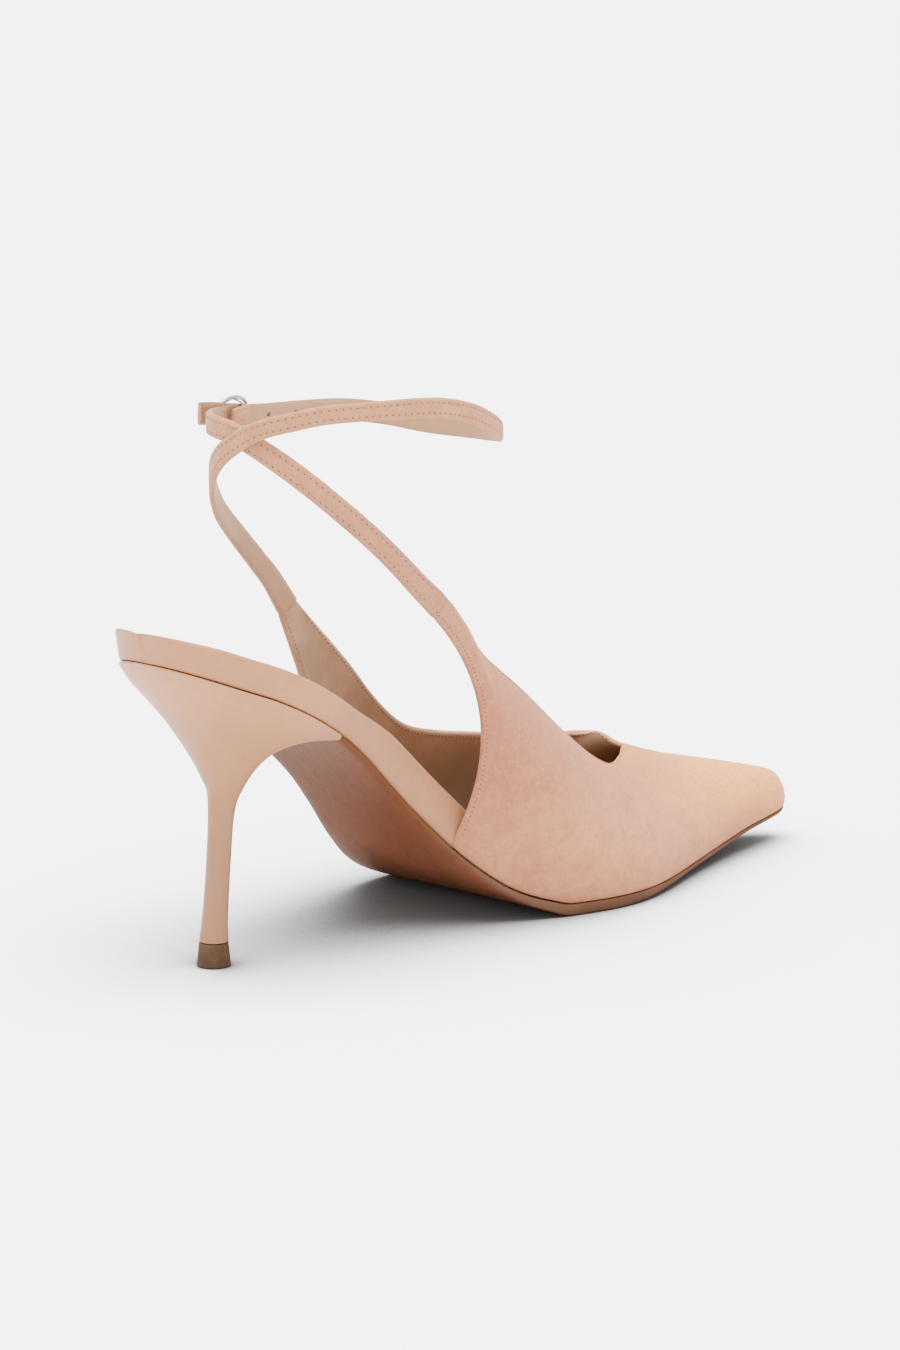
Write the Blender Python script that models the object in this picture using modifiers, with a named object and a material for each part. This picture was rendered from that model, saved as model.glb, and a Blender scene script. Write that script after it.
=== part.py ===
"""Ankle strap pump for the left foot.

Pointed vamp with two wings. Each wing runs up into a strap: the inner one carries the buckle,
the outer one passes over it behind the ankle, goes once round and ends in the buckle.
The frame has its origin under the middle of the heel, +X to the toe and +Y to the outer side.
"""
import math

import bmesh
import bpy
import numpy as np

# Driving dimensions, in metres
LAST_LENGTH = 0.242
BALL_WIDTH = 0.0746
SEAT_WIDTH = 0.0493
HEEL_HEIGHT = 0.0839
HEEL_SETBACK = 0.0234
SEAT_LENGTH = 0.0484
LIP_BULGE = 0.0028
TOE_SPRING = 0.0062
SOLE_THICKNESS = 0.0030
SOLE_EDGE_ROUND = 0.0005
INSOLE_THICKNESS = 0.0110
INSOLE_EDGE_ROUND = 0.0013
INSOLE_DISH = 0.0016
INSOLE_OVERHANG = 0.0056
THROAT_HEIGHT = 0.0330
UPPER_WALL = 0.0017
ANKLE_RISE = 0.0541
ANKLE_LENGTH = 0.088
ANKLE_BREADTH = 0.064
ANKLE_MIDDLE = 0.052
ANKLE_SHIFT = -0.0015
STRAP_WIDTH = 0.0064
STRAP_THICKNESS = 0.0018
STEM_WIDTH = 0.0067
STEM_TOP_LEAN = 0.0029
TOP_PIECE_WIDTH = 0.0091
TOP_PIECE_HEIGHT = 0.0063
BUCKLE_LENGTH = 0.0140
BUCKLE_HEIGHT = 0.0084
BUCKLE_WIRE = 0.0012
BUCKLE_OFF = 0.0022
BUCKLE_BOW = 0.0010
BUCKLE_TILT = 0.0006
BAR_WIRE = 0.0010
PRONG_WIRE = 0.0009
PRONG_DIP = 0.0012
PRONG_ARCH = 0.0011
PRONG_TIP = 0.0014
FLAP_LENGTH = 0.0075
FLAP_TAPER = 0.14
HOLE_WIDTH = 0.0016
CLEARANCE = 0.0003

BALL_HALF = BALL_WIDTH / 2
SEAT_HALF = SEAT_WIDTH / 2
LOOP_LEVEL = HEEL_HEIGHT + ANKLE_RISE
SEAT_SHARE = SEAT_LENGTH / LAST_LENGTH
SEAT_ROUND = 0.10
TOE_ROUND = 0.030
SEAT_BLEND = 0.20
OVERHANG_SHARE = 0.13
BULGE_SHARE = 0.12
INSOLE_END = 0.97
TUCK_START = 0.012
TUCK_LENGTH = 0.010
SLOPE_STEP = 0.004
BUCKLE_TURN = 107.5


def table(columns, rows):
    """Rows of numbers as named columns."""
    names = columns.split()
    return {name: np.array([row[place] for row in rows], float) for place, name in enumerate(names)}


# The last from seat to toe tip. Along is a share of the last's length. Pitch is a share of the
# heel's height over the ball, spring of the toe's spring, swing and half of half the ball width.
LAST = table("along pitch spring swing half", [
    (0.00, 1.000, 0.00, 0.000, 0.672),
    (0.06, 0.922, 0.00, 0.000, 0.664),
    (0.10, 0.875, 0.00, 0.000, 0.661),
    (0.15, 0.805, 0.00, 0.002, 0.657),
    (0.20, 0.718, 0.00, 0.014, 0.630),
    (0.25, 0.615, 0.00, 0.034, 0.575),
    (0.30, 0.485, 0.00, 0.068, 0.549),
    (0.35, 0.342, 0.00, 0.108, 0.602),
    (0.40, 0.197, 0.00, 0.126, 0.714),
    (0.45, 0.084, 0.00, 0.122, 0.835),
    (0.50, 0.021, 0.00, 0.088, 0.912),
    (0.53, 0.000, 0.00, 0.060, 0.945),
    (0.60, 0.000, 0.00, 0.013, 0.985),
    (0.65, 0.000, 0.00, 0.000, 0.950),
    (0.70, 0.000, 0.01, -0.005, 0.855),
    (0.75, 0.000, 0.06, -0.021, 0.724),
    (0.80, 0.000, 0.18, -0.054, 0.585),
    (0.85, 0.000, 0.36, -0.100, 0.449),
    (0.90, 0.000, 0.58, -0.158, 0.316),
    (0.95, 0.000, 0.79, -0.222, 0.200),
    (1.00, 0.000, 1.00, -0.276, 0.085),
])

# Thickness of outsole and insole along the last, as shares of their full thickness
BOTTOM = table("along outsole insole dish", [
    (0.00, 0.42, 0.64, 0.4),
    (0.05, 0.42, 0.76, 1.0),
    (0.12, 0.42, 0.77, 1.0),
    (0.20, 0.42, 0.75, 1.0),
    (0.28, 0.42, 0.95, 0.8),
    (0.38, 0.42, 1.00, 0.5),
    (0.44, 0.55, 0.80, 0.3),
    (0.53, 1.00, 0.42, 0.0),
    (0.60, 1.00, 0.28, 0.0),
    (0.66, 0.75, 0.25, 0.0),
    (0.72, 0.50, 0.24, 0.0),
    (0.80, 0.42, 0.23, 0.0),
    (1.00, 0.36, 0.22, 0.0),
])

# Ribs of the vamp from the toe tip to the throat, alike on both sides. Foot is the rib's place on
# the sole's edge and top its place on the ridge, as shares of the length. Rise is the ridge's
# height as a share of the throat's. Flare pushes the wall outward and lift sends it upward near
# the sole, shoulder rounds it under the ridge, and fore bows the toe forward.
VAMP = table("foot top rise flare lift shoulder fore", [
    (1.000, 0.985, 0.580, 0.000, 0.30, 0.000, 0.013),
    (0.988, 0.973, 0.625, 0.030, 0.32, 0.085, 0.008),
    (0.955, 0.950, 0.675, 0.045, 0.36, 0.160, 0.004),
    (0.905, 0.908, 0.755, 0.060, 0.38, 0.235, 0.002),
    (0.840, 0.860, 0.840, 0.070, 0.38, 0.310, 0.002),
    (0.780, 0.812, 0.925, 0.085, 0.36, 0.370, 0.004),
    (0.720, 0.758, 1.055, 0.085, 0.36, 0.420, 0.006),
])

# Ribs of each wing from the throat to its rear edge. Foot, top and the handles' fore are shares of
# the length, side and out are shares of half the ball width, rise and up of the loop's level.
WING_COLUMNS = "foot top side rise foot_fore foot_out foot_up top_fore top_out top_up"
INNER_WING = table(WING_COLUMNS, [
    (0.670, 0.729, -0.130, 0.2415, 0.009, 0.085, 0.085, -0.012, 0.390, -0.012),
    (0.630, 0.692, -0.275, 0.2420, 0.008, 0.090, 0.085, -0.012, 0.350, -0.018),
    (0.590, 0.643, -0.345, 0.2760, 0.006, 0.110, 0.090, -0.010, 0.380, -0.040),
    (0.540, 0.572, -0.470, 0.3550, 0.006, 0.120, 0.130, -0.006, 0.340, -0.075),
    (0.490, 0.485, -0.600, 0.4640, 0.008, 0.150, 0.170, 0.004, 0.250, -0.110),
    (0.440, 0.396, -0.760, 0.5620, 0.016, 0.180, 0.180, 0.026, 0.120, -0.130),
    (0.412, 0.359, -0.835, 0.6260, 0.028, 0.205, 0.190, 0.048, 0.060, -0.140),
    (0.395, 0.318, -0.895, 0.6950, 0.040, 0.225, 0.200, 0.075, 0.020, -0.170),
    (0.381, 0.297, -0.905, 0.6560, 0.047, 0.245, 0.195, 0.077, 0.010, -0.120),
])
OUTER_WING = table(WING_COLUMNS, [
    (0.670, 0.748, 0.250, 0.2725, 0.009, 0.085, 0.085, -0.012, 0.340, -0.016),
    (0.620, 0.706, 0.500, 0.2700, 0.009, 0.080, 0.090, -0.012, 0.240, -0.027),
    (0.570, 0.634, 0.690, 0.2840, 0.010, 0.090, 0.090, -0.008, 0.200, -0.060),
    (0.520, 0.560, 0.745, 0.3060, 0.010, 0.080, 0.090, -0.004, 0.160, -0.076),
    (0.470, 0.508, 0.760, 0.3340, 0.010, 0.080, 0.095, 0.000, 0.150, -0.080),
    (0.425, 0.460, 0.755, 0.4000, 0.012, 0.110, 0.100, 0.002, 0.120, -0.087),
    (0.385, 0.415, 0.735, 0.4850, 0.014, 0.140, 0.110, 0.004, 0.110, -0.094),
    (0.368, 0.344, 0.812, 0.6230, 0.018, 0.150, 0.115, 0.038, 0.040, -0.145),
    (0.363, 0.321, 0.826, 0.5900, 0.034, 0.140, 0.115, 0.027, 0.010, -0.110),
])

# Middle lines of the straps round the ankle. Turn is in degrees from the front of the ankle over
# the outer side, level a share of the loop's level, width of the strap's width, off is the distance
# outside the ankle in strap thicknesses, and thick a share of the strap's thickness.
BUCKLE_STRAP = table("turn level width off thick", [
    (267.2, 0.6807, 1.08, 0.00, 1.00),
    (258.7, 0.7234, 0.98, 0.00, 1.00),
    (249.4, 0.7748, 0.93, 0.00, 1.00),
    (239.7, 0.8241, 0.92, 0.00, 1.00),
    (229.1, 0.8726, 0.92, 0.00, 1.00),
    (217.8, 0.9190, 0.92, 0.00, 1.00),
    (204.6, 0.9632, 0.92, 0.00, 1.00),
    (190.0, 0.9980, 0.92, 0.00, 1.00),
    (172.0, 1.0190, 0.92, 0.00, 1.00),
    (155.0, 1.0200, 0.94, 0.00, 1.00),
    (138.0, 1.0160, 0.94, 0.00, 1.00),
    (126.0, 1.0120, 0.92, 0.00, 0.90),
    (119.0, 1.0095, 0.90, 0.00, 0.56),
    (108.5, 1.0080, 0.88, 0.00, 0.50),
])
WRAP_STRAP = table("turn level width off thick", [
    (84.4, 0.6160, 1.11, 0.00, 1.00),
    (90.9, 0.6680, 1.02, 0.00, 1.00),
    (98.7, 0.7138, 0.98, 0.00, 1.00),
    (109.0, 0.7665, 0.98, 0.00, 1.00),
    (116.5, 0.7995, 0.96, 0.00, 1.00),
    (123.6, 0.8283, 0.95, 0.00, 1.00),
    (131.0, 0.8580, 0.94, -0.18, 1.00),
    (143.0, 0.8990, 0.91, -0.36, 1.00),
    (158.0, 0.9370, 0.88, -0.10, 1.00),
    (168.0, 0.9600, 0.86, 0.60, 1.00),
    (178.0, 0.9860, 0.85, 1.20, 1.00),
    (195.0, 1.0270, 0.79, 1.25, 1.00),
    (208.0, 1.0445, 0.77, 1.20, 1.00),
    (224.0, 1.0590, 0.77, 0.60, 1.00),
    (243.0, 1.0615, 0.79, 0.10, 1.00),
    (265.0, 1.0580, 0.83, 0.00, 1.00),
    (285.0, 1.0360, 0.83, 0.00, 1.00),
    (301.0, 1.0070, 0.84, 0.00, 1.00),
    (319.0, 0.9770, 0.84, 0.00, 1.00),
    (338.0, 0.9645, 0.85, -0.20, 1.00),
    (360.0, 0.9600, 0.88, -0.25, 1.00),
    (383.0, 0.9645, 0.95, 0.00, 1.00),
    (404.0, 0.9825, 0.96, 0.00, 1.00),
    (421.0, 0.9930, 0.94, 0.00, 1.00),
    (437.0, 0.9950, 0.95, 0.00, 0.95),
    (450.0, 0.9970, 0.95, 0.00, 0.80),
    (457.0, 0.9990, 0.95, 0.22, 0.68),
    (463.0, 1.0024, 0.93, 0.62, 0.66),
    (468.0, 1.0066, 0.93, 0.82, 0.66),
    (474.0, 1.0110, 0.95, 0.95, 0.66),
    (479.0, 1.0160, 0.95, 1.15, 0.66),
    (486.5, 1.0210, 0.95, 2.70, 0.66),
])
TAIL_HOLES = (440.0, 452.5, 464.3)

# Rings of the heel's flare below the seat. Back and front are the ring's ends fore and aft as
# shares of the seat's length, half is a share of half the seat's width, and round turns the seat's
# outline into a circle.
FLARE = table("back back_level front front_level half round", [
    (-0.422, 0.948, 0.430, 0.700, 0.905, 0.15),
    (-0.328, 0.876, 0.365, 0.682, 0.740, 0.40),
    (-0.228, 0.800, 0.312, 0.656, 0.585, 0.70),
    (-0.143, 0.722, 0.266, 0.625, 0.445, 0.90),
    (-0.080, 0.656, 0.222, 0.590, 0.330, 1.00),
    (-0.036, 0.600, 0.184, 0.552, 0.238, 1.00),
    (-0.008, 0.548, 0.154, 0.512, 0.166, 1.00),
])

# Rings of the heel's stem. Level is a share of the height from top piece to flare, lean of the
# stem's lean at its top, and width of the stem's width.
STEM = table("level lean width", [
    (1.00, 1.00, 1.02),
    (0.72, 0.74, 0.98),
    (0.44, 0.46, 0.98),
    (0.20, 0.20, 1.03),
    (0.08, 0.08, 1.10),
    (0.00, 0.03, 1.16),
])
STEM_TOP_SHARE = 0.455


def glide(xs, ys, at):
    """Height at a place of a smooth curve through points, level where the points are level."""
    steps = np.diff(xs)
    slopes = np.diff(ys) / steps
    tangents = np.empty(len(xs))
    tangents[0] = slopes[0]
    tangents[-1] = slopes[-1]
    before, after = slopes[:-1], slopes[1:]
    middle = (steps[1:] * before + steps[:-1] * after) / (steps[1:] + steps[:-1])
    limit = 3 * np.minimum(abs(before), abs(after))
    tangents[1:-1] = np.where(before * after > 0, np.clip(middle, -limit, limit), 0.0)
    place = np.clip(np.searchsorted(xs, at, side="right") - 1, 0, len(xs) - 2)
    share = (at - xs[place]) / steps[place]
    rise = ys[place + 1] - ys[place]
    start = tangents[place] * steps[place]
    end = tangents[place + 1] * steps[place]
    bend = 3 * rise - 2 * start - end + share * (start + end - 2 * rise)
    return ys[place] + share * (start + share * bend)


def column(rows, key, name, at):
    """Value of a table's column at a place on its key column."""
    return glide(rows[key], rows[name], at)


def ease(share):
    """Smooth step from 0 to 1."""
    share = np.clip(share, 0.0, 1.0)
    return share * share * (3 - 2 * share)


# The last's bottom

def bed_height(along):
    """Height of the sole's upper face."""
    pitch = column(LAST, "along", "pitch", along)
    spring = column(LAST, "along", "spring", along)
    return SOLE_THICKNESS + pitch * (HEEL_HEIGHT - SOLE_THICKNESS) + spring * TOE_SPRING


def bed_point(along):
    """Middle of the sole's upper face."""
    side = column(LAST, "along", "swing", along) * BALL_HALF
    return np.array([along * LAST_LENGTH - HEEL_SETBACK, side, bed_height(along)])


def bed_normal(along):
    """Direction straight out of the sole's upper face."""
    low, high = max(along - SLOPE_STEP, 0.0), min(along + SLOPE_STEP, 1.0)
    run = (high - low) * LAST_LENGTH
    rise = bed_height(high) - bed_height(low)
    return np.array([-rise, 0.0, run]) / math.hypot(rise, run)


def half_width(along):
    """Half the sole's width, with its seat and its toe rounded off."""
    half = column(LAST, "along", "half", along) * BALL_HALF
    blend = ease((along - SEAT_ROUND) / (SEAT_BLEND - SEAT_ROUND))
    half = half * blend + SEAT_HALF * (1 - blend)
    if along < SEAT_ROUND:
        half *= math.sqrt(max(1 - (1 - along / SEAT_ROUND) ** 2, 0.0))
    if along > 1 - TOE_ROUND:
        half *= math.sqrt(max(1 - ((along - 1 + TOE_ROUND) / TOE_ROUND) ** 2, 0.0))
    return half


def edge_point(along, side, inset=0.0):
    """Point on the sole's edge; side is -1 on the inner and 1 on the outer side."""
    return bed_point(along) + np.array([0.0, side * (half_width(along) - inset), 0.0])


def round_steps(length, first, count):
    """Places that crowd towards the end of a rounded stretch."""
    return [length * (1 - math.cos(angle)) for angle in np.linspace(first, math.pi / 2, count)]


# Meshes

def build_object(name, vertices, faces, colour, roughness, metallic=0.0):
    """New object with its own material in the pump's collection."""
    mesh = bpy.data.meshes.new(name)
    mesh.from_pydata([tuple(point) for point in vertices], [], faces)
    work = bmesh.new()
    work.from_mesh(mesh)
    bmesh.ops.remove_doubles(work, verts=work.verts, dist=1e-6)
    bmesh.ops.recalc_face_normals(work, faces=work.faces)
    work.to_mesh(mesh)
    work.free()
    thing = bpy.data.objects.new(name, mesh)
    bpy.data.collections["ankle_strap_pump"].objects.link(thing)
    finish(thing, colour, roughness, metallic)
    return thing


def finish(thing, colour, roughness, metallic):
    """Smooth shading and a plain material."""
    material = bpy.data.materials.new(thing.name)
    material.use_nodes = True
    shader = material.node_tree.nodes["Principled BSDF"]
    shader.inputs["Base Color"].default_value = (*colour, 1.0)
    shader.inputs["Roughness"].default_value = roughness
    shader.inputs["Metallic"].default_value = metallic
    thing.data.materials.append(material)
    thing.data.shade_smooth()
    thing.data.set_sharp_from_angle(angle=math.radians(40))


def loft(rings, cap=None):
    """Vertices and faces of closed rings joined in order, with the ends that cap makes."""
    count = len(rings[0])
    vertices = [point for ring in rings for point in ring]
    faces = []
    for row in range(len(rings) - 1):
        for place in range(count):
            after = (place + 1) % count
            base = row * count
            faces.append((base + place, base + after, base + count + after, base + count + place))
    if cap:
        faces += cap(0, count) + cap((len(rings) - 1) * count, count)
    return vertices, faces


def flat_cap(start, count):
    """One face across a flat ring."""
    return [tuple(range(start, start + count))]


def rungs(start, count):
    """Faces across a bowed ring whose points lie in pairs, the first with the last."""
    return [(start + place, start + place + 1, start + count - place - 2, start + count - place - 1)
            for place in range(count // 2 - 1)]


def ladder(start, count):
    """Faces across a ring whose points lie in pairs on both sides of its first point."""
    half = count // 2
    faces = [(start, start + 1, start + count - 1)]
    for place in range(1, half - 1):
        faces.append((start + place, start + place + 1, start + count - place - 1, start + count - place))
    faces.append((start + half - 1, start + half, start + half + 1))
    return faces


# Slabs that lie on the last's bottom

ACROSS = 7


def slab_ring(along, bottom, top, insets, edge_round, dish=0.0, bulge=0.0, lean=0.0):
    """Closed section of a slab: its underside from inner to outer edge, then its top."""
    centre = column(LAST, "along", "swing", along) * BALL_HALF
    half = half_width(along)
    inner = -(half - insets[0])
    outer = half - insets[1]
    radius = min(edge_round, 0.45 * (top - bottom), 0.45 * (outer - inner))
    ring = []

    def put(side, height, depth):
        share = 2 * (side - inner) / (outer - inner) - 1
        place = min(along + bulge * (1 - share * share), 1.0)
        normal = bed_normal(place)
        back = np.array([-normal[2], 0.0, normal[0]]) * lean * (height - bottom) / (top - bottom)
        point = bed_point(place)
        point[1] = centre + side
        ring.append(point + back + normal * (height - depth * (1 - share * share)))

    flat = np.linspace(inner + radius, outer - radius, ACROSS)
    corner = radius * (1 - math.sqrt(0.5))
    put(inner, bottom + radius, 0.0)
    put(inner + corner, bottom + corner, 0.0)
    for side in flat:
        put(side, bottom, 0.0)
    put(outer - corner, bottom + corner, 0.0)
    put(outer, bottom + radius, 0.0)
    put(outer, top - radius, 0.0)
    put(outer - corner, top - corner, 0.0)
    for side in flat[::-1]:
        put(side, top, dish)
    put(inner + corner, top - corner, 0.0)
    put(inner, top - radius, 0.0)
    return ring


def make_outsole():
    """Thin leather sole from the heel's lip to the toe."""
    start = SEAT_SHARE + CLEARANCE / LAST_LENGTH
    places = list(np.linspace(start, 1 - TOE_ROUND, 31)) + [
        1 - TOE_ROUND + TOE_ROUND * math.sin(angle) for angle in np.radians((20, 40, 57, 70))]
    rings = []
    for along in places:
        thickness = column(BOTTOM, "along", "outsole", along) * SOLE_THICKNESS
        bulge = LIP_BULGE / LAST_LENGTH * (1 - ease((along - SEAT_SHARE) / BULGE_SHARE))
        rings.append(slab_ring(along, -thickness, 0.0, (0.0, 0.0), SOLE_EDGE_ROUND, bulge=bulge))
    vertices, faces = loft(rings, rungs)
    return build_object("outsole", vertices, faces, (0.33, 0.13, 0.07), 0.35)


def make_insole():
    """Covered insole board: a thick rim from the seat to the wings, thin inside the upper."""
    places = round_steps(SEAT_ROUND, 0.14, 7) + list(np.linspace(SEAT_ROUND, 0.34, 13))[1:]
    places += list(np.linspace(0.345, 0.40, 8)) + list(np.linspace(0.43, 0.90, 14))
    places += [0.925, 0.95, INSOLE_END]
    rings = []
    for along in places:
        thickness = column(BOTTOM, "along", "insole", along) * INSOLE_THICKNESS
        dish = column(BOTTOM, "along", "dish", along) * INSOLE_DISH
        covered = UPPER_WALL + 2 * CLEARANCE
        insets = [covered * ease((along - wing["foot"][-1] + TUCK_START) / TUCK_LENGTH)
                  for wing in (INNER_WING, OUTER_WING)]
        lean = INSOLE_OVERHANG * (1 - ease(along / OVERHANG_SHARE))
        rings.append(slab_ring(
            along, CLEARANCE, CLEARANCE + thickness, insets, INSOLE_EDGE_ROUND, dish=dish, lean=lean))
    vertices, faces = loft(rings, rungs)
    return build_object("insole", vertices, faces, (0.71, 0.47, 0.36), 0.45)


# The upper

def vamp_rib(row, side):
    """Control points of a rib of the vamp, from the sole's edge to the ridge."""
    foot = edge_point(VAMP["foot"][row], side)
    foot[2] += CLEARANCE
    top = ridge_point(row)
    fore = VAMP["fore"][row] * LAST_LENGTH
    rise = top[2] - foot[2]
    low = foot + np.array([fore, side * VAMP["flare"][row] * BALL_HALF, VAMP["lift"][row] * rise])
    high = top + np.array([fore * 0.6, side * VAMP["shoulder"][row] * BALL_HALF, 0.0])
    return foot, low, high, top


def wing_rib(wing, row, side):
    """Control points of a rib of a wing, from the sole's edge to the wing's front edge or strap."""
    foot = edge_point(wing["foot"][row], side)
    foot[2] += CLEARANCE
    top = np.array([
        wing["top"][row] * LAST_LENGTH - HEEL_SETBACK,
        wing["side"][row] * BALL_HALF,
        wing["rise"][row] * LOOP_LEVEL])
    sizes = np.array([LAST_LENGTH, side * BALL_HALF, LOOP_LEVEL])
    low = foot + sizes * [wing["foot_fore"][row], wing["foot_out"][row], wing["foot_up"][row]]
    high = top + sizes * [wing["top_fore"][row], wing["top_out"][row], wing["top_up"][row]]
    return foot, low, high, top


RIB_STEPS = 3
RIB_POINTS = 11


def ridge_point(place):
    """Point on the vamp's ridge, counted in ribs from the toe tip."""
    keys = np.arange(len(VAMP["top"]), dtype=float)
    point = bed_point(glide(keys, VAMP["top"], place))
    point[2] = glide(keys, VAMP["rise"], place) * THROAT_HEIGHT
    return point


def half_upper(wing, side):
    """Outer face of one side of the upper: ribs from the toe tip to the wing's rear edge."""
    feet = np.concatenate([VAMP["foot"], wing["foot"]])
    ribs = [vamp_rib(row, side) for row in range(len(VAMP["foot"]))]
    ribs += [wing_rib(wing, row, side) for row in range(len(wing["foot"]))]
    front_corner, rear_corner = strap_end(BUCKLE_STRAP if wing is INNER_WING else WRAP_STRAP)
    keys = np.arange(len(ribs), dtype=float)
    controls = np.array(ribs)
    controls[-2:, 3] = front_corner, rear_corner
    rows = []
    for place in np.linspace(0, len(ribs) - 1, (len(ribs) - 1) * RIB_STEPS + 1):
        foot = edge_point(glide(keys, feet, place), side)
        foot[2] += CLEARANCE
        low, high, top = [np.array([glide(keys, controls[:, knot, axis], place) for axis in range(3)])
                          for knot in (1, 2, 3)]
        if place <= len(VAMP["foot"]) - 1:
            top = ridge_point(place)
        elif place <= len(ribs) - 2:
            top = np.array([glide(keys[:-1], controls[:-1, 3, axis], place) for axis in range(3)])
        else:
            share = place - (len(ribs) - 2)
            top = front_corner * (1 - share) + rear_corner * share
        row = []
        for share in np.linspace(0, 1, RIB_POINTS):
            rest = 1 - share
            row.append(rest ** 3 * foot + 3 * rest ** 2 * share * low
                       + 3 * rest * share ** 2 * high + share ** 3 * top)
        rows.append(row)
    return rows


def make_upper():
    """Hollow suede shell: vamp and two wings, open at throat, heel and underneath."""
    vertices = []
    faces = []
    for wing, side in ((INNER_WING, -1), (OUTER_WING, 1)):
        rows = half_upper(wing, side)
        start = len(vertices)
        vertices += [point for row in rows for point in row]
        for row in range(len(rows) - 1):
            for place in range(RIB_POINTS - 1):
                corner = start + row * RIB_POINTS + place
                faces.append((corner, corner + 1, corner + RIB_POINTS + 1, corner + RIB_POINTS))
    upper = build_object("upper", vertices, faces, (0.72, 0.46, 0.37), 0.9)
    point_outward(upper)
    wall = upper.modifiers.new("wall", "SOLIDIFY")
    wall.thickness = UPPER_WALL
    wall.offset = -1.0
    wall.use_even_offset = True
    return upper


def point_outward(upper):
    """Turn an open shell's faces away from the middle of the foot."""
    work = bmesh.new()
    work.from_mesh(upper.data)
    bmesh.ops.recalc_face_normals(work, faces=work.faces)
    facing = sum(face.normal.y * face.calc_center_median().y * face.calc_area() for face in work.faces)
    if facing < 0:
        bmesh.ops.reverse_faces(work, faces=work.faces)
    work.to_mesh(upper.data)
    work.free()


# Straps round the ankle

def ankle_point(turn, level, off):
    """Point on the ankle's oval, or off it."""
    angle = math.radians(turn)
    half_length = ANKLE_LENGTH / 2 + off
    half_breadth = ANKLE_BREADTH / 2 + off
    return np.array([
        ANKLE_MIDDLE + half_length * math.cos(angle),
        ANKLE_SHIFT + half_breadth * math.sin(angle),
        level * LOOP_LEVEL])


def ankle_normal(turn):
    """Level direction out of the ankle's oval."""
    angle = math.radians(turn)
    out = np.array([math.cos(angle) / ANKLE_LENGTH, math.sin(angle) / ANKLE_BREADTH, 0.0])
    return out / np.linalg.norm(out)


def strip_ring(centre, across, out, width, thickness):
    """Section of a flat strip with softened edges."""
    half = width / 2
    thick = thickness / 2
    soft = thick * 0.6
    corners = [(-half, -soft), (-half, soft), (soft - half, thick), (half - soft, thick),
               (half, soft), (half, -soft), (half - soft, -thick), (soft - half, -thick)]
    return [centre + across * wide + out * deep for wide, deep in corners]


def strap_place(strap, turn, forward):
    """Middle of a strap at a turn."""
    keys = strap["turn"] * forward
    off = glide(keys, strap["off"], turn * forward) * STRAP_THICKNESS
    return ankle_point(turn, glide(keys, strap["level"], turn * forward), off)


def strap_rings(strap, count):
    """Sections of a strap along its middle line."""
    forward = 1 if strap["turn"][-1] > strap["turn"][0] else -1
    keys = strap["turn"] * forward
    step = 0.5
    rings = []
    for key in np.linspace(keys[0], keys[-1], count):
        ahead = strap_place(strap, min(key + step, keys[-1]) * forward, forward)
        behind = strap_place(strap, max(key - step, keys[0]) * forward, forward)
        along = (ahead - behind) / np.linalg.norm(ahead - behind)
        across = np.cross(ankle_normal(key * forward), along)
        across /= np.linalg.norm(across)
        width = glide(keys, strap["width"], key) * STRAP_WIDTH
        thickness = glide(keys, strap["thick"], key) * STRAP_THICKNESS
        centre = strap_place(strap, key * forward, forward)
        rings.append(strip_ring(centre, across, np.cross(along, across), width, thickness))
    return rings


def fold_rings():
    """The buckle strap's end, turned inward round the buckle's bar and back along itself."""
    end = BUCKLE_STRAP["turn"][-1]
    thickness = BUCKLE_STRAP["thick"][-1] * STRAP_THICKNESS
    width = BUCKLE_STRAP["width"][-1] * STRAP_WIDTH
    start = strap_place(BUCKLE_STRAP, end, -1)
    out = ankle_normal(end)
    fore = np.array([out[1], -out[0], 0.0])
    across = np.cross(out, fore)
    radius = BUCKLE_WIRE / 2 + CLEARANCE + thickness / 2
    rings = []
    for angle in np.radians((30, 60, 90, 120, 150, 180)):
        centre = start - out * radius * (1 - math.cos(angle)) + fore * radius * math.sin(angle)
        radial = out * math.cos(angle) + fore * math.sin(angle)
        rings.append(strip_ring(centre, across, radial, width, thickness))
    for share in (0.5, 1.0):
        centre = start - out * (2 * radius + CLEARANCE * share) - fore * FLAP_LENGTH * share
        rings.append(strip_ring(centre, across, -out, width * (1 - FLAP_TAPER * share), thickness))
    return rings


def strap_end(strap):
    """Corners of the wing's cut that faces a strap's lower end: front and rear, on the outer face."""
    first, second = strap_rings(strap, 40)[:2]
    middle = np.mean(first, axis=0)
    along = np.mean(second, axis=0) - middle
    along /= np.linalg.norm(along)
    out = ankle_normal(strap["turn"][0])
    across = np.cross(out, along)
    across /= np.linalg.norm(across)
    reach = across * strap["width"][0] * STRAP_WIDTH / 2
    face = middle + np.cross(along, across) * STRAP_THICKNESS / 2 - along * CLEARANCE * 2
    corners = sorted([face + reach, face - reach], key=lambda point: -point[0])
    return corners[0], corners[1]


def make_strap(name, rings):
    """One strap as a closed solid."""
    vertices, faces = loft(rings, flat_cap)
    return build_object(name, vertices, faces, (0.72, 0.46, 0.37), 0.9)


def cut_tail_holes(strap):
    """Punch the row of holes in the strap's tail."""
    for turn in TAIL_HOLES:
        centre = strap_place(WRAP_STRAP, turn, 1)
        out = ankle_normal(turn)
        bpy.ops.mesh.primitive_cylinder_add(
            vertices=12, radius=HOLE_WIDTH / 2, depth=STRAP_THICKNESS * 3, location=centre,
            rotation=(math.pi / 2, 0, math.atan2(out[1], out[0]) + math.pi / 2))
        cutter = bpy.context.active_object
        cutter.name = "hole_cutter"
        cutter.hide_render = True
        cutter.display_type = "WIRE"
        move_to(cutter, "cutters")
        hole = strap.modifiers.new("hole", "BOOLEAN")
        hole.object = cutter
        hole.solver = "EXACT"


# The heel

RING_POINTS = 40
LIP_POINTS = 6
RIM_SHARE = 0.25


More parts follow.
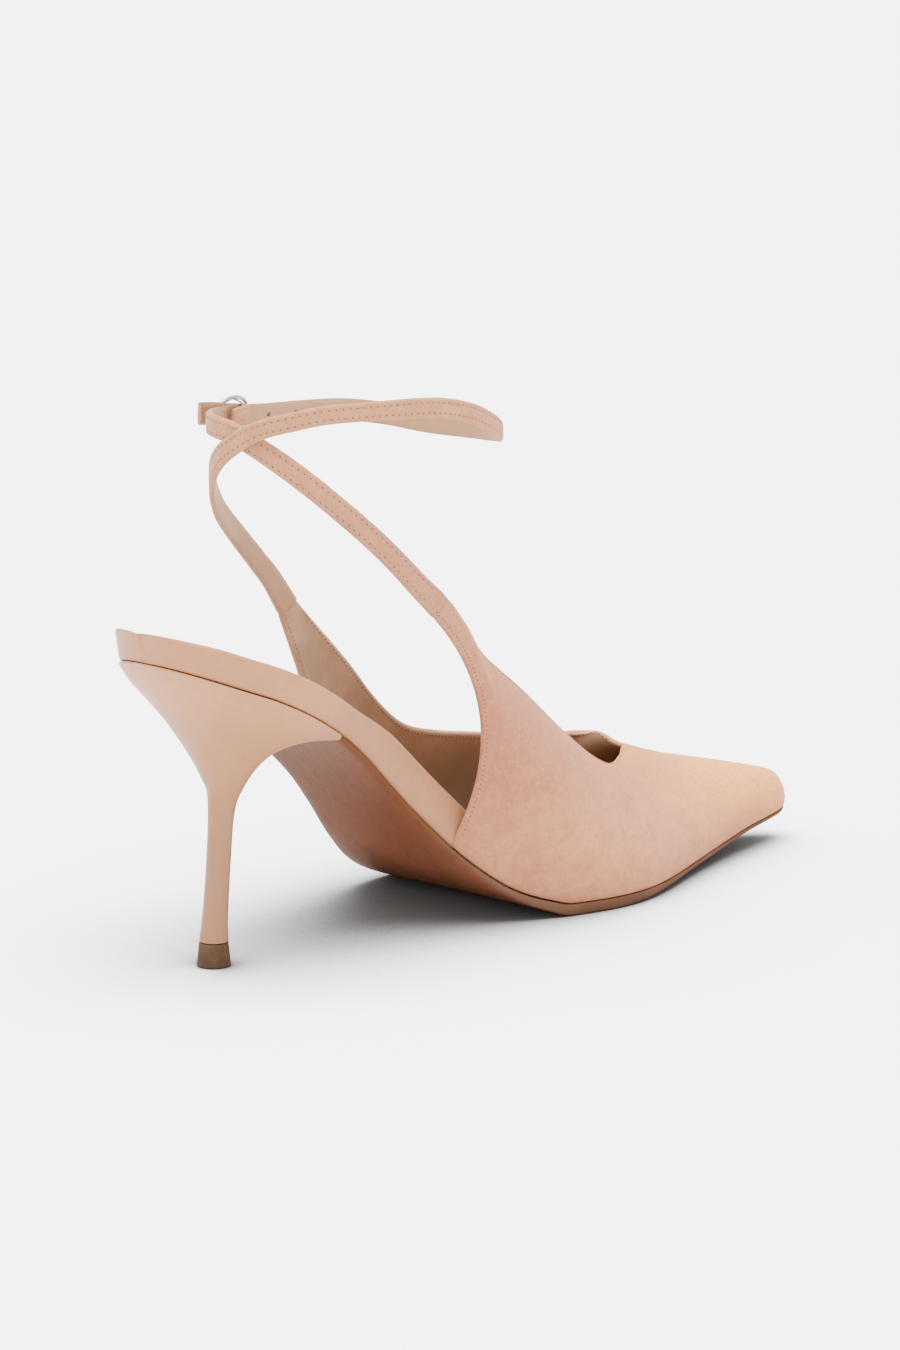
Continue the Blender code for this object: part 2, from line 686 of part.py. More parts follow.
def seat_outline():
    """Seat's outline from the middle of its back round the outer side, with the lip's arc."""
    side_count = RING_POINTS // 2 - LIP_POINTS
    dense = [0.0] + round_steps(SEAT_ROUND, 0.05, 40) + list(np.linspace(SEAT_ROUND, SEAT_SHARE, 40))[1:]
    walk = [(along * LAST_LENGTH, half_width(along)) for along in dense]
    lengths = np.concatenate([[0.0], np.cumsum([math.dist(a, b) for a, b in zip(walk, walk[1:])])])
    alongs = np.interp(np.linspace(0, lengths[-1], side_count + 1), lengths, dense)
    outline = [(along, half_width(along)) for along in alongs]
    front_half = half_width(SEAT_SHARE)
    for place in range(1, LIP_POINTS + 1):
        side = math.cos(place / LIP_POINTS * math.pi / 2)
        along = SEAT_SHARE + LIP_BULGE / LAST_LENGTH * (1 - side * side)
        outline.append((along, front_half * side))
    return outline


def heel_rings():
    """Rings of the heel from its seat down to the top piece."""
    outline = seat_outline()
    full = outline + [(along, -side) for along, side in outline[-2:0:-1]]
    front_along = SEAT_SHARE + LIP_BULGE / LAST_LENGTH
    swing = column(LAST, "along", "swing", SEAT_SHARE) * BALL_HALF
    seat = [bed_point(along) * [1, 0, 1] + [0, side + swing * ease(along / SEAT_SHARE), 0]
            for along, side in full]
    rim = SOLE_THICKNESS * BOTTOM["outsole"][0]
    deep = [rim * (RIM_SHARE + (1 - RIM_SHARE) * ease(along / SEAT_SHARE)) for along, side in full]
    rings = [seat, [point - bed_normal(along) * depth
                    for point, depth, (along, side) in zip(seat, deep, full)]]
    units = [(along / front_along, side / SEAT_HALF) for along, side in full]
    for row in range(len(FLARE["back"])):
        back = np.array([FLARE["back"][row] * SEAT_LENGTH, FLARE["back_level"][row] * HEEL_HEIGHT])
        front = np.array([FLARE["front"][row] * SEAT_LENGTH, FLARE["front_level"][row] * HEEL_HEIGHT])
        half = FLARE["half"][row] * SEAT_HALF
        blend = FLARE["round"][row]
        ring = []
        for place, (reach, side) in enumerate(units):
            angle = 2 * math.pi * place / RING_POINTS
            reach = reach * (1 - blend) + (0.5 - 0.5 * math.cos(angle)) * blend
            side = side * (1 - blend) + math.sin(angle) * blend
            fore, level = back + (front - back) * reach
            ring.append(np.array([fore, side * half, level]))
        rings.append(ring)
    foot = TOP_PIECE_HEIGHT + CLEARANCE
    top = STEM_TOP_SHARE * HEEL_HEIGHT
    for row in range(len(STEM["level"])):
        level = foot + STEM["level"][row] * (top - foot)
        fore = STEM["lean"][row] * STEM_TOP_LEAN
        radius = STEM["width"][row] * STEM_WIDTH / 2
        rings.append([np.array([fore - radius * math.cos(angle), radius * math.sin(angle), level])
                      for angle in np.linspace(0, 2 * math.pi, RING_POINTS, endpoint=False)])
    return rings


def make_heel():
    """Covered heel: a seat that follows the sole, a flare and a slim stem."""
    rings = heel_rings()
    vertices, faces = loft(rings)
    faces += ladder(0, RING_POINTS) + flat_cap((len(rings) - 1) * RING_POINTS, RING_POINTS)
    return build_object("heel", vertices, faces, (0.71, 0.46, 0.35), 0.4)


def make_top_piece():
    """Small lift under the heel, a little wider at the floor."""
    bpy.ops.mesh.primitive_cone_add(
        vertices=RING_POINTS, radius1=TOP_PIECE_WIDTH / 2, radius2=STEM["width"][-1] * STEM_WIDTH / 2,
        depth=TOP_PIECE_HEIGHT, location=(0, 0, TOP_PIECE_HEIGHT / 2))
    piece = bpy.context.active_object
    piece.name = "top_piece"
    move_to(piece, "ankle_strap_pump")
    finish(piece, (0.20, 0.11, 0.06), 0.5, 0.0)
    return piece


def move_to(thing, name):
    """Link an object that an operator added to one collection alone."""
    for collection in list(thing.users_collection):
        collection.objects.unlink(thing)
    bpy.data.collections[name].objects.link(thing)


# The buckle

WIRE_POINTS = 32


def buckle_frame():
    """Middle of the buckle and its directions to the rear, up and outward."""
    centre = strap_place(BUCKLE_STRAP, BUCKLE_TURN, -1)
    out = ankle_normal(BUCKLE_TURN)
    return centre, np.array([-out[1], out[0], 0.0]), np.array([0.0, 0.0, 1.0]), out


def bar_place():
    """Middle of the bar, which lies in the buckle strap's fold."""
    end = BUCKLE_STRAP["turn"][-1]
    thickness = BUCKLE_STRAP["thick"][-1] * STRAP_THICKNESS
    depth = BUCKLE_WIRE / 2 + CLEARANCE + thickness / 2
    return strap_place(BUCKLE_STRAP, end, -1) - ankle_normal(end) * depth


def tube(name, points, radius, closed):
    """Round wire along points as a closed mesh."""
    curve = bpy.data.curves.new(name, "CURVE")
    curve.dimensions = "3D"
    curve.bevel_depth = radius
    curve.bevel_resolution = 2
    curve.use_fill_caps = True
    spline = curve.splines.new("POLY")
    spline.points.add(len(points) - 1)
    for knot, point in zip(spline.points, points):
        knot.co = (*point, 1.0)
    spline.use_cyclic_u = closed
    wire = bpy.data.objects.new(name, curve)
    bpy.data.collections["ankle_strap_pump"].objects.link(wire)
    mesh = bpy.data.meshes.new_from_object(wire.evaluated_get(bpy.context.evaluated_depsgraph_get()))
    bpy.data.objects.remove(wire)
    work = bmesh.new()
    work.from_mesh(mesh)
    bmesh.ops.remove_doubles(work, verts=work.verts, dist=1e-6)
    bmesh.ops.recalc_face_normals(work, faces=work.faces)
    work.to_mesh(mesh)
    work.free()
    thing = bpy.data.objects.new(name, mesh)
    bpy.data.collections["ankle_strap_pump"].objects.link(thing)
    finish(thing, (0.62, 0.61, 0.60), 0.25, 1.0)
    return thing


def make_buckle():
    """Oval ring of wire, bowed outward at both ends, with a bar that dips into the strap's fold."""
    centre, back, up, out = buckle_frame()
    half_height = BUCKLE_HEIGHT / 2
    ring = []
    for angle in np.linspace(0, 2 * math.pi, WIRE_POINTS, endpoint=False):
        run = math.cos(angle)
        reach = BUCKLE_OFF + BUCKLE_BOW * run * run + BUCKLE_TILT * run
        flat = back * run * BUCKLE_LENGTH / 2 + up * math.sin(angle) * half_height
        ring.append(centre + flat + out * reach)
    frame = tube("buckle", ring, BUCKLE_WIRE / 2, True)
    middle = bar_place()
    bend = BUCKLE_STRAP["width"][-1] * STRAP_WIDTH / 2 + CLEARANCE
    ends = [centre + out * BUCKLE_OFF + up * half_height * side for side in (-1, 1)]
    knots = [ends[0], middle - up * bend, middle + up * bend, ends[1]]
    bar = tube("bar_joint", knots, BAR_WIRE / 2, False)
    bar.hide_render = True
    bar.display_type = "WIRE"
    move_to(bar, "cutters")
    joint = frame.modifiers.new("bar", "BOOLEAN")
    joint.operation = "UNION"
    joint.solver = "EXACT"
    joint.object = bar
    return frame


def make_prong():
    """Tongue from the bar through the strap's hole to the front of the ring."""
    centre, back, up, out = buckle_frame()
    hole = strap_place(WRAP_STRAP, TAIL_HOLES[-1], 1)
    rest = centre - back * (BUCKLE_LENGTH / 2) + out * (
        BUCKLE_OFF + BUCKLE_BOW - BUCKLE_TILT + BUCKLE_WIRE / 2 + CLEARANCE + PRONG_WIRE / 2)
    tip = rest - back * PRONG_TIP
    outward = ankle_normal(TAIL_HOLES[-1])
    knots = [hole - outward * PRONG_DIP, hole, hole + outward * PRONG_ARCH, rest, tip]
    return tube("prong", knots, PRONG_WIRE / 2, False)


# The whole pump

def clear_scene():
    """Remove every object and add the pump's collection."""
    for thing in list(bpy.data.objects):
        bpy.data.objects.remove(thing)
    for name in ("ankle_strap_pump", "cutters"):
        bpy.context.scene.collection.children.link(bpy.data.collections.new(name))


def main():
    clear_scene()
    make_outsole()
    make_insole()
    make_upper()
    make_heel()
    make_top_piece()
    make_strap("strap_buckle", strap_rings(BUCKLE_STRAP, 40) + fold_rings())
    cut_tail_holes(make_strap("strap_wrap", strap_rings(WRAP_STRAP, 90)))
    make_buckle()
    make_prong()


main()
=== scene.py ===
"""Visual model of an ankle strap pump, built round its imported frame."""

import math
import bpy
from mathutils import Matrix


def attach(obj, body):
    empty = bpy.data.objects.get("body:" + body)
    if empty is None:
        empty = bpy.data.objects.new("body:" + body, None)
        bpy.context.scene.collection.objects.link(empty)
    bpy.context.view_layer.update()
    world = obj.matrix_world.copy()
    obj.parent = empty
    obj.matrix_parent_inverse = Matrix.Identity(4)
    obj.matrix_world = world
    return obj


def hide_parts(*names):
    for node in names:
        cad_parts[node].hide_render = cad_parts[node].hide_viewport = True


bl_info = {
    "name": "Ankle Strap Pump",
    "version": (1, 0, 0),
    "blender": (4, 5, 0),
    "location": "View3D > Sidebar > Pump",
    "description": "Builds a suede pump with a strap round the ankle, and its studio",
    "category": "Object",
}

import bmesh
import bpy
import numpy as np
from mathutils import Vector

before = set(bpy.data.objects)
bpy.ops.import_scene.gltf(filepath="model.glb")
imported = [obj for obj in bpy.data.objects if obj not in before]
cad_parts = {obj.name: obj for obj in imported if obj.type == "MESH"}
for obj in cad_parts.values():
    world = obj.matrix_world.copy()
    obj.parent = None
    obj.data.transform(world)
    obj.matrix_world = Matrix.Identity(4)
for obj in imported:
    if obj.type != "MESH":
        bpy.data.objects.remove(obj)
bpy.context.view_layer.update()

# The shoe's sizes, in metres or as shares, and its tables, as in the frame
LAST_LENGTH = 0.242
BALL_WIDTH = 0.0746
SEAT_WIDTH = 0.0493
HEEL_HEIGHT = 0.0839
HEEL_SETBACK = 0.0234
SEAT_LENGTH = 0.0484
LIP_BULGE = 0.0028
TOE_SPRING = 0.0062
SOLE_THICKNESS = 0.0030
SOLE_EDGE_ROUND = 0.0005
INSOLE_THICKNESS = 0.0110
INSOLE_EDGE_ROUND = 0.0013
INSOLE_DISH = 0.0016
INSOLE_OVERHANG = 0.0056
THROAT_HEIGHT = 0.0330
UPPER_WALL = 0.0017
ANKLE_RISE = 0.0541
ANKLE_LENGTH = 0.088
ANKLE_BREADTH = 0.064
ANKLE_MIDDLE = 0.052
ANKLE_SHIFT = -0.0015
STRAP_WIDTH = 0.0064
STRAP_THICKNESS = 0.0018
STEM_WIDTH = 0.0067
STEM_TOP_LEAN = 0.0029
TOP_PIECE_WIDTH = 0.0091
TOP_PIECE_HEIGHT = 0.0063
BUCKLE_LENGTH = 0.0140
BUCKLE_HEIGHT = 0.0084
BUCKLE_WIRE = 0.0012
BUCKLE_OFF = 0.0022
BUCKLE_BOW = 0.0010
BUCKLE_TILT = 0.0006
BAR_WIRE = 0.0010
PRONG_WIRE = 0.0009
PRONG_DIP = 0.0012
PRONG_ARCH = 0.0011
PRONG_TIP = 0.0014
FLAP_LENGTH = 0.0075
FLAP_TAPER = 0.14
HOLE_WIDTH = 0.0016
CLEARANCE = 0.0003

BALL_HALF = BALL_WIDTH / 2
SEAT_HALF = SEAT_WIDTH / 2
LOOP_LEVEL = HEEL_HEIGHT + ANKLE_RISE
SEAT_SHARE = SEAT_LENGTH / LAST_LENGTH
SEAT_ROUND = 0.10
TOE_ROUND = 0.030
SEAT_BLEND = 0.20
OVERHANG_SHARE = 0.13
BULGE_SHARE = 0.12
INSOLE_END = 0.97
SLOPE_STEP = 0.004
RIDGE_FORE = 0.6
TURN_STEP = 0.5
BUCKLE_TURN = 107.5
RIM_SHARE = 0.25

# How finely the pieces are drawn
ACROSS = 15
RING_POINTS = 72
LIP_POINTS = 14
RING_STEPS = 6
UPPER_POINTS = 27
UPPER_STEPS = 7
SMOOTH_PASSES = 6
BUCKLE_STRAP_RINGS = 150
WRAP_STRAP_RINGS = 330
STRAP_POINTS = 21
SLIP_POINTS = 9
THREAD_RINGS = 6
THREAD_SIDES = 6
NEEDLE_SIDES = 8

# Details that only the visual model has, in metres or as shares. The seam share is the part of
# the clearance that stays between upper and sole, the insole draws in under a wing's rear edge
# over the tuck run, and a strap's first ring lies a lap deep in its wing.
SEAM_SHARE = 0.25
TUCK_RUN = 0.006
STRAP_EDGE = 0.0006
CROWN_RISE = 0.00010
GROOVE_DEPTH = 0.00012
GROOVE_INSET = 0.0013
GROOVE_WIDTH = 0.0003
STRAP_LAP = 0.0012
LAP_SINK = 0.00008
LAP_TRIM = 0.0001
PUNCH_SHARE = 0.8
LIFT_BEVEL = 0.00025
EDGE_STITCH = 0.62
STRAP_STITCH = 0.55
NEEDLE_LIFT = 0.00004
NEEDLE_SHARE = 1.25
NEEDLE_STRETCH = 1.2

# Heights and reaches in metres between which a tone comes in
# Heights between which the painted bounce light on the low suede comes in
LOW_BOUNCE_LIGHT_LEVEL = (0.045, 0.012)
# Reach and heights of the painted highlight on the toe's top
TOE_HIGHLIGHT_REACH = (0.134, 0.198)
TOE_HIGHLIGHT_LEVEL = (0.004, 0.024)
STRAP_LEVEL = (0.070, 0.100)
LOOP_TINT_LEVEL = (0.118, 0.132)
# Heights between which the painted shade on the lining fades out
LINING_SHADE_LEVEL = (0.020, 0.045)
SLIP_LEVEL = (0.070, 0.100)
INSOLE_LEVEL = (0.020, 0.040)
# Heights between which the painted shade on the heel's stem fades out
HEEL_SHADE_LEVEL = (0.020, 0.085)
TREAD_LEVEL = (0.0035, 0.0)
# Heights between which the painted shade under the waist comes in
WAIST_SHADE_LEVEL = (0.012, 0.034)
FOOT_LEVEL = (0.0012, 0.0)

# The studio
FLOOR_SIZE = 30.0
FLOOR_DROP = 0.0002
SHADOW_GREY_SHARE = 0.12
SENSOR_WIDTH = 36.0

# Materials by name, filled by the first operator that needs them
MADE = {}


def table(columns, rows):
    """Rows of numbers as named columns."""
    names = columns.split()
    return {name: np.array([row[place] for row in rows], float) for place, name in enumerate(names)}


# The last from seat to toe tip. Along is a share of the last's length. Pitch is a share of the
# heel's height over the ball, spring of the toe's spring, swing and half of half the ball width.
LAST = table("along pitch spring swing half", [
    (0.00, 1.000, 0.00, 0.000, 0.672),
    (0.06, 0.922, 0.00, 0.000, 0.664),
    (0.10, 0.875, 0.00, 0.000, 0.661),
    (0.15, 0.805, 0.00, 0.002, 0.657),
    (0.20, 0.718, 0.00, 0.014, 0.630),
    (0.25, 0.615, 0.00, 0.034, 0.575),
    (0.30, 0.485, 0.00, 0.068, 0.549),
    (0.35, 0.342, 0.00, 0.108, 0.602),
    (0.40, 0.197, 0.00, 0.126, 0.714),
    (0.45, 0.084, 0.00, 0.122, 0.835),
    (0.50, 0.021, 0.00, 0.088, 0.912),
    (0.53, 0.000, 0.00, 0.060, 0.945),
    (0.60, 0.000, 0.00, 0.013, 0.985),
    (0.65, 0.000, 0.00, 0.000, 0.950),
    (0.70, 0.000, 0.01, -0.005, 0.855),
    (0.75, 0.000, 0.06, -0.021, 0.724),
    (0.80, 0.000, 0.18, -0.054, 0.585),
    (0.85, 0.000, 0.36, -0.100, 0.449),
    (0.90, 0.000, 0.58, -0.158, 0.316),
    (0.95, 0.000, 0.79, -0.222, 0.200),
    (1.00, 0.000, 1.00, -0.276, 0.085),
])

# Thickness of outsole and insole along the last, as shares of their full thickness
BOTTOM = table("along outsole insole dish", [
    (0.00, 0.42, 0.64, 0.4),
    (0.05, 0.42, 0.76, 1.0),
    (0.12, 0.42, 0.77, 1.0),
    (0.20, 0.42, 0.75, 1.0),
    (0.28, 0.42, 0.95, 0.8),
    (0.38, 0.42, 1.00, 0.5),
    (0.44, 0.55, 0.80, 0.3),
    (0.53, 1.00, 0.42, 0.0),
    (0.60, 1.00, 0.28, 0.0),
    (0.66, 0.75, 0.25, 0.0),
    (0.72, 0.50, 0.24, 0.0),
    (0.80, 0.42, 0.23, 0.0),
    (1.00, 0.36, 0.22, 0.0),
])

# Ribs of the vamp from the toe tip to the throat, alike on both sides. Foot is the rib's place on
# the sole's edge and top its place on the ridge, as shares of the length. Rise is the ridge's
# height as a share of the throat's. Flare pushes the wall outward and lift sends it upward near
# the sole, shoulder rounds it under the ridge, and fore bows the toe forward.
VAMP = table("foot top rise flare lift shoulder fore", [
    (1.000, 0.985, 0.580, 0.000, 0.30, 0.000, 0.013),
    (0.988, 0.973, 0.625, 0.030, 0.32, 0.085, 0.008),
    (0.955, 0.950, 0.675, 0.045, 0.36, 0.160, 0.004),
    (0.905, 0.908, 0.755, 0.060, 0.38, 0.235, 0.002),
    (0.840, 0.860, 0.840, 0.070, 0.38, 0.310, 0.002),
    (0.780, 0.812, 0.925, 0.085, 0.36, 0.370, 0.004),
    (0.720, 0.758, 1.055, 0.085, 0.36, 0.420, 0.006),
])

# Ribs of each wing from the throat to its rear edge. Foot, top and the handles' fore are shares of
# the length, side and out are shares of half the ball width, rise and up of the loop's level.
WING_COLUMNS = "foot top side rise foot_fore foot_out foot_up top_fore top_out top_up"
INNER_WING = table(WING_COLUMNS, [
    (0.670, 0.729, -0.130, 0.2415, 0.009, 0.085, 0.085, -0.012, 0.390, -0.012),
    (0.630, 0.692, -0.275, 0.2420, 0.008, 0.090, 0.085, -0.012, 0.350, -0.018),
    (0.590, 0.643, -0.345, 0.2760, 0.006, 0.110, 0.090, -0.010, 0.380, -0.040),
    (0.540, 0.572, -0.470, 0.3550, 0.006, 0.120, 0.130, -0.006, 0.340, -0.075),
    (0.490, 0.485, -0.600, 0.4640, 0.008, 0.150, 0.170, 0.004, 0.250, -0.110),
    (0.440, 0.396, -0.760, 0.5620, 0.016, 0.180, 0.180, 0.026, 0.120, -0.130),
    (0.412, 0.359, -0.835, 0.6260, 0.028, 0.205, 0.190, 0.048, 0.060, -0.140),
    (0.395, 0.318, -0.895, 0.6950, 0.040, 0.225, 0.200, 0.075, 0.020, -0.170),
    (0.381, 0.297, -0.905, 0.6560, 0.047, 0.245, 0.195, 0.077, 0.010, -0.120),
])
OUTER_WING = table(WING_COLUMNS, [
    (0.670, 0.748, 0.250, 0.2725, 0.009, 0.085, 0.085, -0.012, 0.340, -0.016),
    (0.620, 0.706, 0.500, 0.2700, 0.009, 0.080, 0.090, -0.012, 0.240, -0.027),
    (0.570, 0.634, 0.690, 0.2840, 0.010, 0.090, 0.090, -0.008, 0.200, -0.060),
    (0.520, 0.560, 0.745, 0.3060, 0.010, 0.080, 0.090, -0.004, 0.160, -0.076),
    (0.470, 0.508, 0.760, 0.3340, 0.010, 0.080, 0.095, 0.000, 0.150, -0.080),
    (0.425, 0.460, 0.755, 0.4000, 0.012, 0.110, 0.100, 0.002, 0.120, -0.087),
    (0.385, 0.415, 0.735, 0.4850, 0.014, 0.140, 0.110, 0.004, 0.110, -0.094),
    (0.368, 0.344, 0.812, 0.6230, 0.018, 0.150, 0.115, 0.038, 0.040, -0.145),
    (0.363, 0.321, 0.826, 0.5900, 0.034, 0.140, 0.115, 0.027, 0.010, -0.110),
])

# Middle lines of the straps round the ankle. Turn is in degrees from the front of the ankle over
# the outer side, level a share of the loop's level, width of the strap's width, off is the distance
# outside the ankle in strap thicknesses, and thick a share of the strap's thickness.
BUCKLE_STRAP = table("turn level width off thick", [
    (267.2, 0.6807, 1.08, 0.00, 1.00),
    (258.7, 0.7234, 0.98, 0.00, 1.00),
    (249.4, 0.7748, 0.93, 0.00, 1.00),
    (239.7, 0.8241, 0.92, 0.00, 1.00),
    (229.1, 0.8726, 0.92, 0.00, 1.00),
    (217.8, 0.9190, 0.92, 0.00, 1.00),
    (204.6, 0.9632, 0.92, 0.00, 1.00),
    (190.0, 0.9980, 0.92, 0.00, 1.00),
    (172.0, 1.0190, 0.92, 0.00, 1.00),
    (155.0, 1.0200, 0.94, 0.00, 1.00),
    (138.0, 1.0160, 0.94, 0.00, 1.00),
    (126.0, 1.0120, 0.92, 0.00, 0.90),
    (119.0, 1.0095, 0.90, 0.00, 0.56),
    (108.5, 1.0080, 0.88, 0.00, 0.50),
])
WRAP_STRAP = table("turn level width off thick", [
    (84.4, 0.6160, 1.11, 0.00, 1.00),
    (90.9, 0.6680, 1.02, 0.00, 1.00),
    (98.7, 0.7138, 0.98, 0.00, 1.00),
    (109.0, 0.7665, 0.98, 0.00, 1.00),
    (116.5, 0.7995, 0.96, 0.00, 1.00),
    (123.6, 0.8283, 0.95, 0.00, 1.00),
    (131.0, 0.8580, 0.94, -0.18, 1.00),
    (143.0, 0.8990, 0.91, -0.36, 1.00),
    (158.0, 0.9370, 0.88, -0.10, 1.00),
    (168.0, 0.9600, 0.86, 0.60, 1.00),
    (178.0, 0.9860, 0.85, 1.20, 1.00),
    (195.0, 1.0270, 0.79, 1.25, 1.00),
    (208.0, 1.0445, 0.77, 1.20, 1.00),
    (224.0, 1.0590, 0.77, 0.60, 1.00),
    (243.0, 1.0615, 0.79, 0.10, 1.00),
    (265.0, 1.0580, 0.83, 0.00, 1.00),
    (285.0, 1.0360, 0.83, 0.00, 1.00),
    (301.0, 1.0070, 0.84, 0.00, 1.00),
    (319.0, 0.9770, 0.84, 0.00, 1.00),
    (338.0, 0.9645, 0.85, -0.20, 1.00),
    (360.0, 0.9600, 0.88, -0.25, 1.00),
    (383.0, 0.9645, 0.95, 0.00, 1.00),
    (404.0, 0.9825, 0.96, 0.00, 1.00),
    (421.0, 0.9930, 0.94, 0.00, 1.00),
    (437.0, 0.9950, 0.95, 0.00, 0.95),
    (450.0, 0.9970, 0.95, 0.00, 0.80),
    (457.0, 0.9990, 0.95, 0.22, 0.68),
    (463.0, 1.0024, 0.93, 0.62, 0.66),
    (468.0, 1.0066, 0.93, 0.82, 0.66),
    (474.0, 1.0110, 0.95, 0.95, 0.66),
    (479.0, 1.0160, 0.95, 1.15, 0.66),
    (486.5, 1.0210, 0.95, 2.70, 0.66),
])
TAIL_HOLES = (440.0, 452.5, 464.3)

# Rings of the heel's flare below the seat. Back and front are the ring's ends fore and aft as
# shares of the seat's length, half is a share of half the seat's width, and round turns the seat's
# outline into a circle.
FLARE = table("back back_level front front_level half round", [
    (-0.422, 0.948, 0.430, 0.700, 0.905, 0.15),
    (-0.328, 0.876, 0.365, 0.682, 0.740, 0.40),
    (-0.228, 0.800, 0.312, 0.656, 0.585, 0.70),
    (-0.143, 0.722, 0.266, 0.625, 0.445, 0.90),
    (-0.080, 0.656, 0.222, 0.590, 0.330, 1.00),
    (-0.036, 0.600, 0.184, 0.552, 0.238, 1.00),
    (-0.008, 0.548, 0.154, 0.512, 0.166, 1.00),
])

# Rings of the heel's stem. Level is a share of the height from top piece to flare, lean of the
# stem's lean at its top, and width of the stem's width.
STEM = table("level lean width", [
    (1.00, 1.00, 1.02),
    (0.72, 0.74, 0.98),
    (0.44, 0.46, 0.98),
    (0.20, 0.20, 1.03),
    (0.08, 0.08, 1.10),
    (0.00, 0.03, 1.16),
])
STEM_TOP_SHARE = 0.455


def glide(xs, ys, at):
    """Height at a place of a smooth curve through points, level where the points are level."""
    steps = np.diff(xs)
    slopes = np.diff(ys) / steps
    tangents = np.empty(len(xs))
    tangents[0] = slopes[0]
    tangents[-1] = slopes[-1]
    before, after = slopes[:-1], slopes[1:]
    middle = (steps[1:] * before + steps[:-1] * after) / (steps[1:] + steps[:-1])
    limit = 3 * np.minimum(abs(before), abs(after))
    tangents[1:-1] = np.where(before * after > 0, np.clip(middle, -limit, limit), 0.0)
    place = np.clip(np.searchsorted(xs, at, side="right") - 1, 0, len(xs) - 2)
    share = (at - xs[place]) / steps[place]
    rise = ys[place + 1] - ys[place]
    start = tangents[place] * steps[place]
    end = tangents[place + 1] * steps[place]
    bend = 3 * rise - 2 * start - end + share * (start + end - 2 * rise)
    return ys[place] + share * (start + share * bend)


def glide_point(keys, points, at):
    """Point at a place of a smooth curve through points."""
    return np.array([glide(keys, points[:, axis], at) for axis in range(3)])


def column(rows, name, at):
    """Value of a table's column at a place along the last."""
    return glide(rows["along"], rows[name], at)


def ease(share):
    """Smooth step from 0 to 1."""
    share = np.clip(share, 0.0, 1.0)
    return share * share * (3 - 2 * share)


def unit(vectors):
    """Vectors of length one, in the directions of one vector or of a row of them."""
    return vectors / np.linalg.norm(vectors, axis=-1, keepdims=True)


def walked(points):
    """Distance from a line's start to each of its points."""
    steps = np.linalg.norm(np.diff(points, axis=0), axis=1)
    return np.concatenate([[0.0], np.cumsum(steps)])


def along_line(at, walk, values):
    """Points or directions of a line at distances from its start."""
    return np.stack([np.interp(at, walk, values[:, axis]) for axis in range(3)], axis=-1)


def turns(count):
    """Angles of a full circle's points."""
    return np.linspace(0, 2 * math.pi, count, endpoint=False)


# The last's bottom

def bed_height(along):
    """Height of the sole's upper face."""
    pitch = column(LAST, "pitch", along)
    spring = column(LAST, "spring", along)
    return SOLE_THICKNESS + pitch * (HEEL_HEIGHT - SOLE_THICKNESS) + spring * TOE_SPRING


def bed_point(along):
    """Middle of the sole's upper face."""
    side = column(LAST, "swing", along) * BALL_HALF
    return np.array([along * LAST_LENGTH - HEEL_SETBACK, side, bed_height(along)])


def bed_normal(along):
    """Direction straight out of the sole's upper face."""
    low, high = max(along - SLOPE_STEP, 0.0), min(along + SLOPE_STEP, 1.0)
    run = (high - low) * LAST_LENGTH
    rise = bed_height(high) - bed_height(low)
    return np.array([-rise, 0.0, run]) / math.hypot(rise, run)


def half_width(along):
    """Half the sole's width, with its seat and its toe rounded off."""
    half = column(LAST, "half", along) * BALL_HALF
    blend = ease((along - SEAT_ROUND) / (SEAT_BLEND - SEAT_ROUND))
    half = half * blend + SEAT_HALF * (1 - blend)
    if along < SEAT_ROUND:
        half *= math.sqrt(max(1 - (1 - along / SEAT_ROUND) ** 2, 0.0))
    if along > 1 - TOE_ROUND:
        half *= math.sqrt(max(1 - ((along - 1 + TOE_ROUND) / TOE_ROUND) ** 2, 0.0))
    return half


def edge_point(along, side):
    """Point on the sole's edge; side is -1 on the inner and 1 on the outer side."""
    return bed_point(along) + np.array([0.0, side * half_width(along), 0.0])


def round_steps(length, first, count):
    """Places that crowd towards the end of a rounded stretch."""
    return [length * (1 - math.cos(angle)) for angle in np.linspace(first, math.pi / 2, count)]


def tube_faces(start, rings, count):
    """Faces between rings of so many points each, whose numbers begin at start."""
    faces = []
    for base in range(start, start + (rings - 1) * count, count):
        for place in range(count):
            after = (place + 1) % count
            faces.append((base + place, base + after, base + count + after, base + count + place))
    return faces


def loft(rings, cap=None):
    """Vertices and faces of closed rings joined in order, with the ends that cap makes."""
    count = len(rings[0])
    vertices = [point for ring in rings for point in ring]
    faces = tube_faces(0, len(rings), count)
    if cap:
        faces += cap(0, count) + cap((len(rings) - 1) * count, count)
    return vertices, faces


def flat_cap(start, count):
    """One face across a flat ring."""
    return [tuple(range(start, start + count))]


def rungs(start, count):
    """Faces across a bowed ring whose points lie in pairs, the first with the last."""
    return [(start + place, start + place + 1, start + count - place - 2, start + count - place - 1)
            for place in range(count // 2 - 1)]


def ladder(start, count):
    """Faces across a ring whose points lie in pairs on both sides of its first point."""
    half = count // 2
    faces = [(start, start + 1, start + count - 1)]
    for place in range(1, half - 1):
        back = start + count - place
        faces.append((start + place, start + place + 1, back - 1, back))
    faces.append((start + half - 1, start + half, start + half + 1))
    return faces


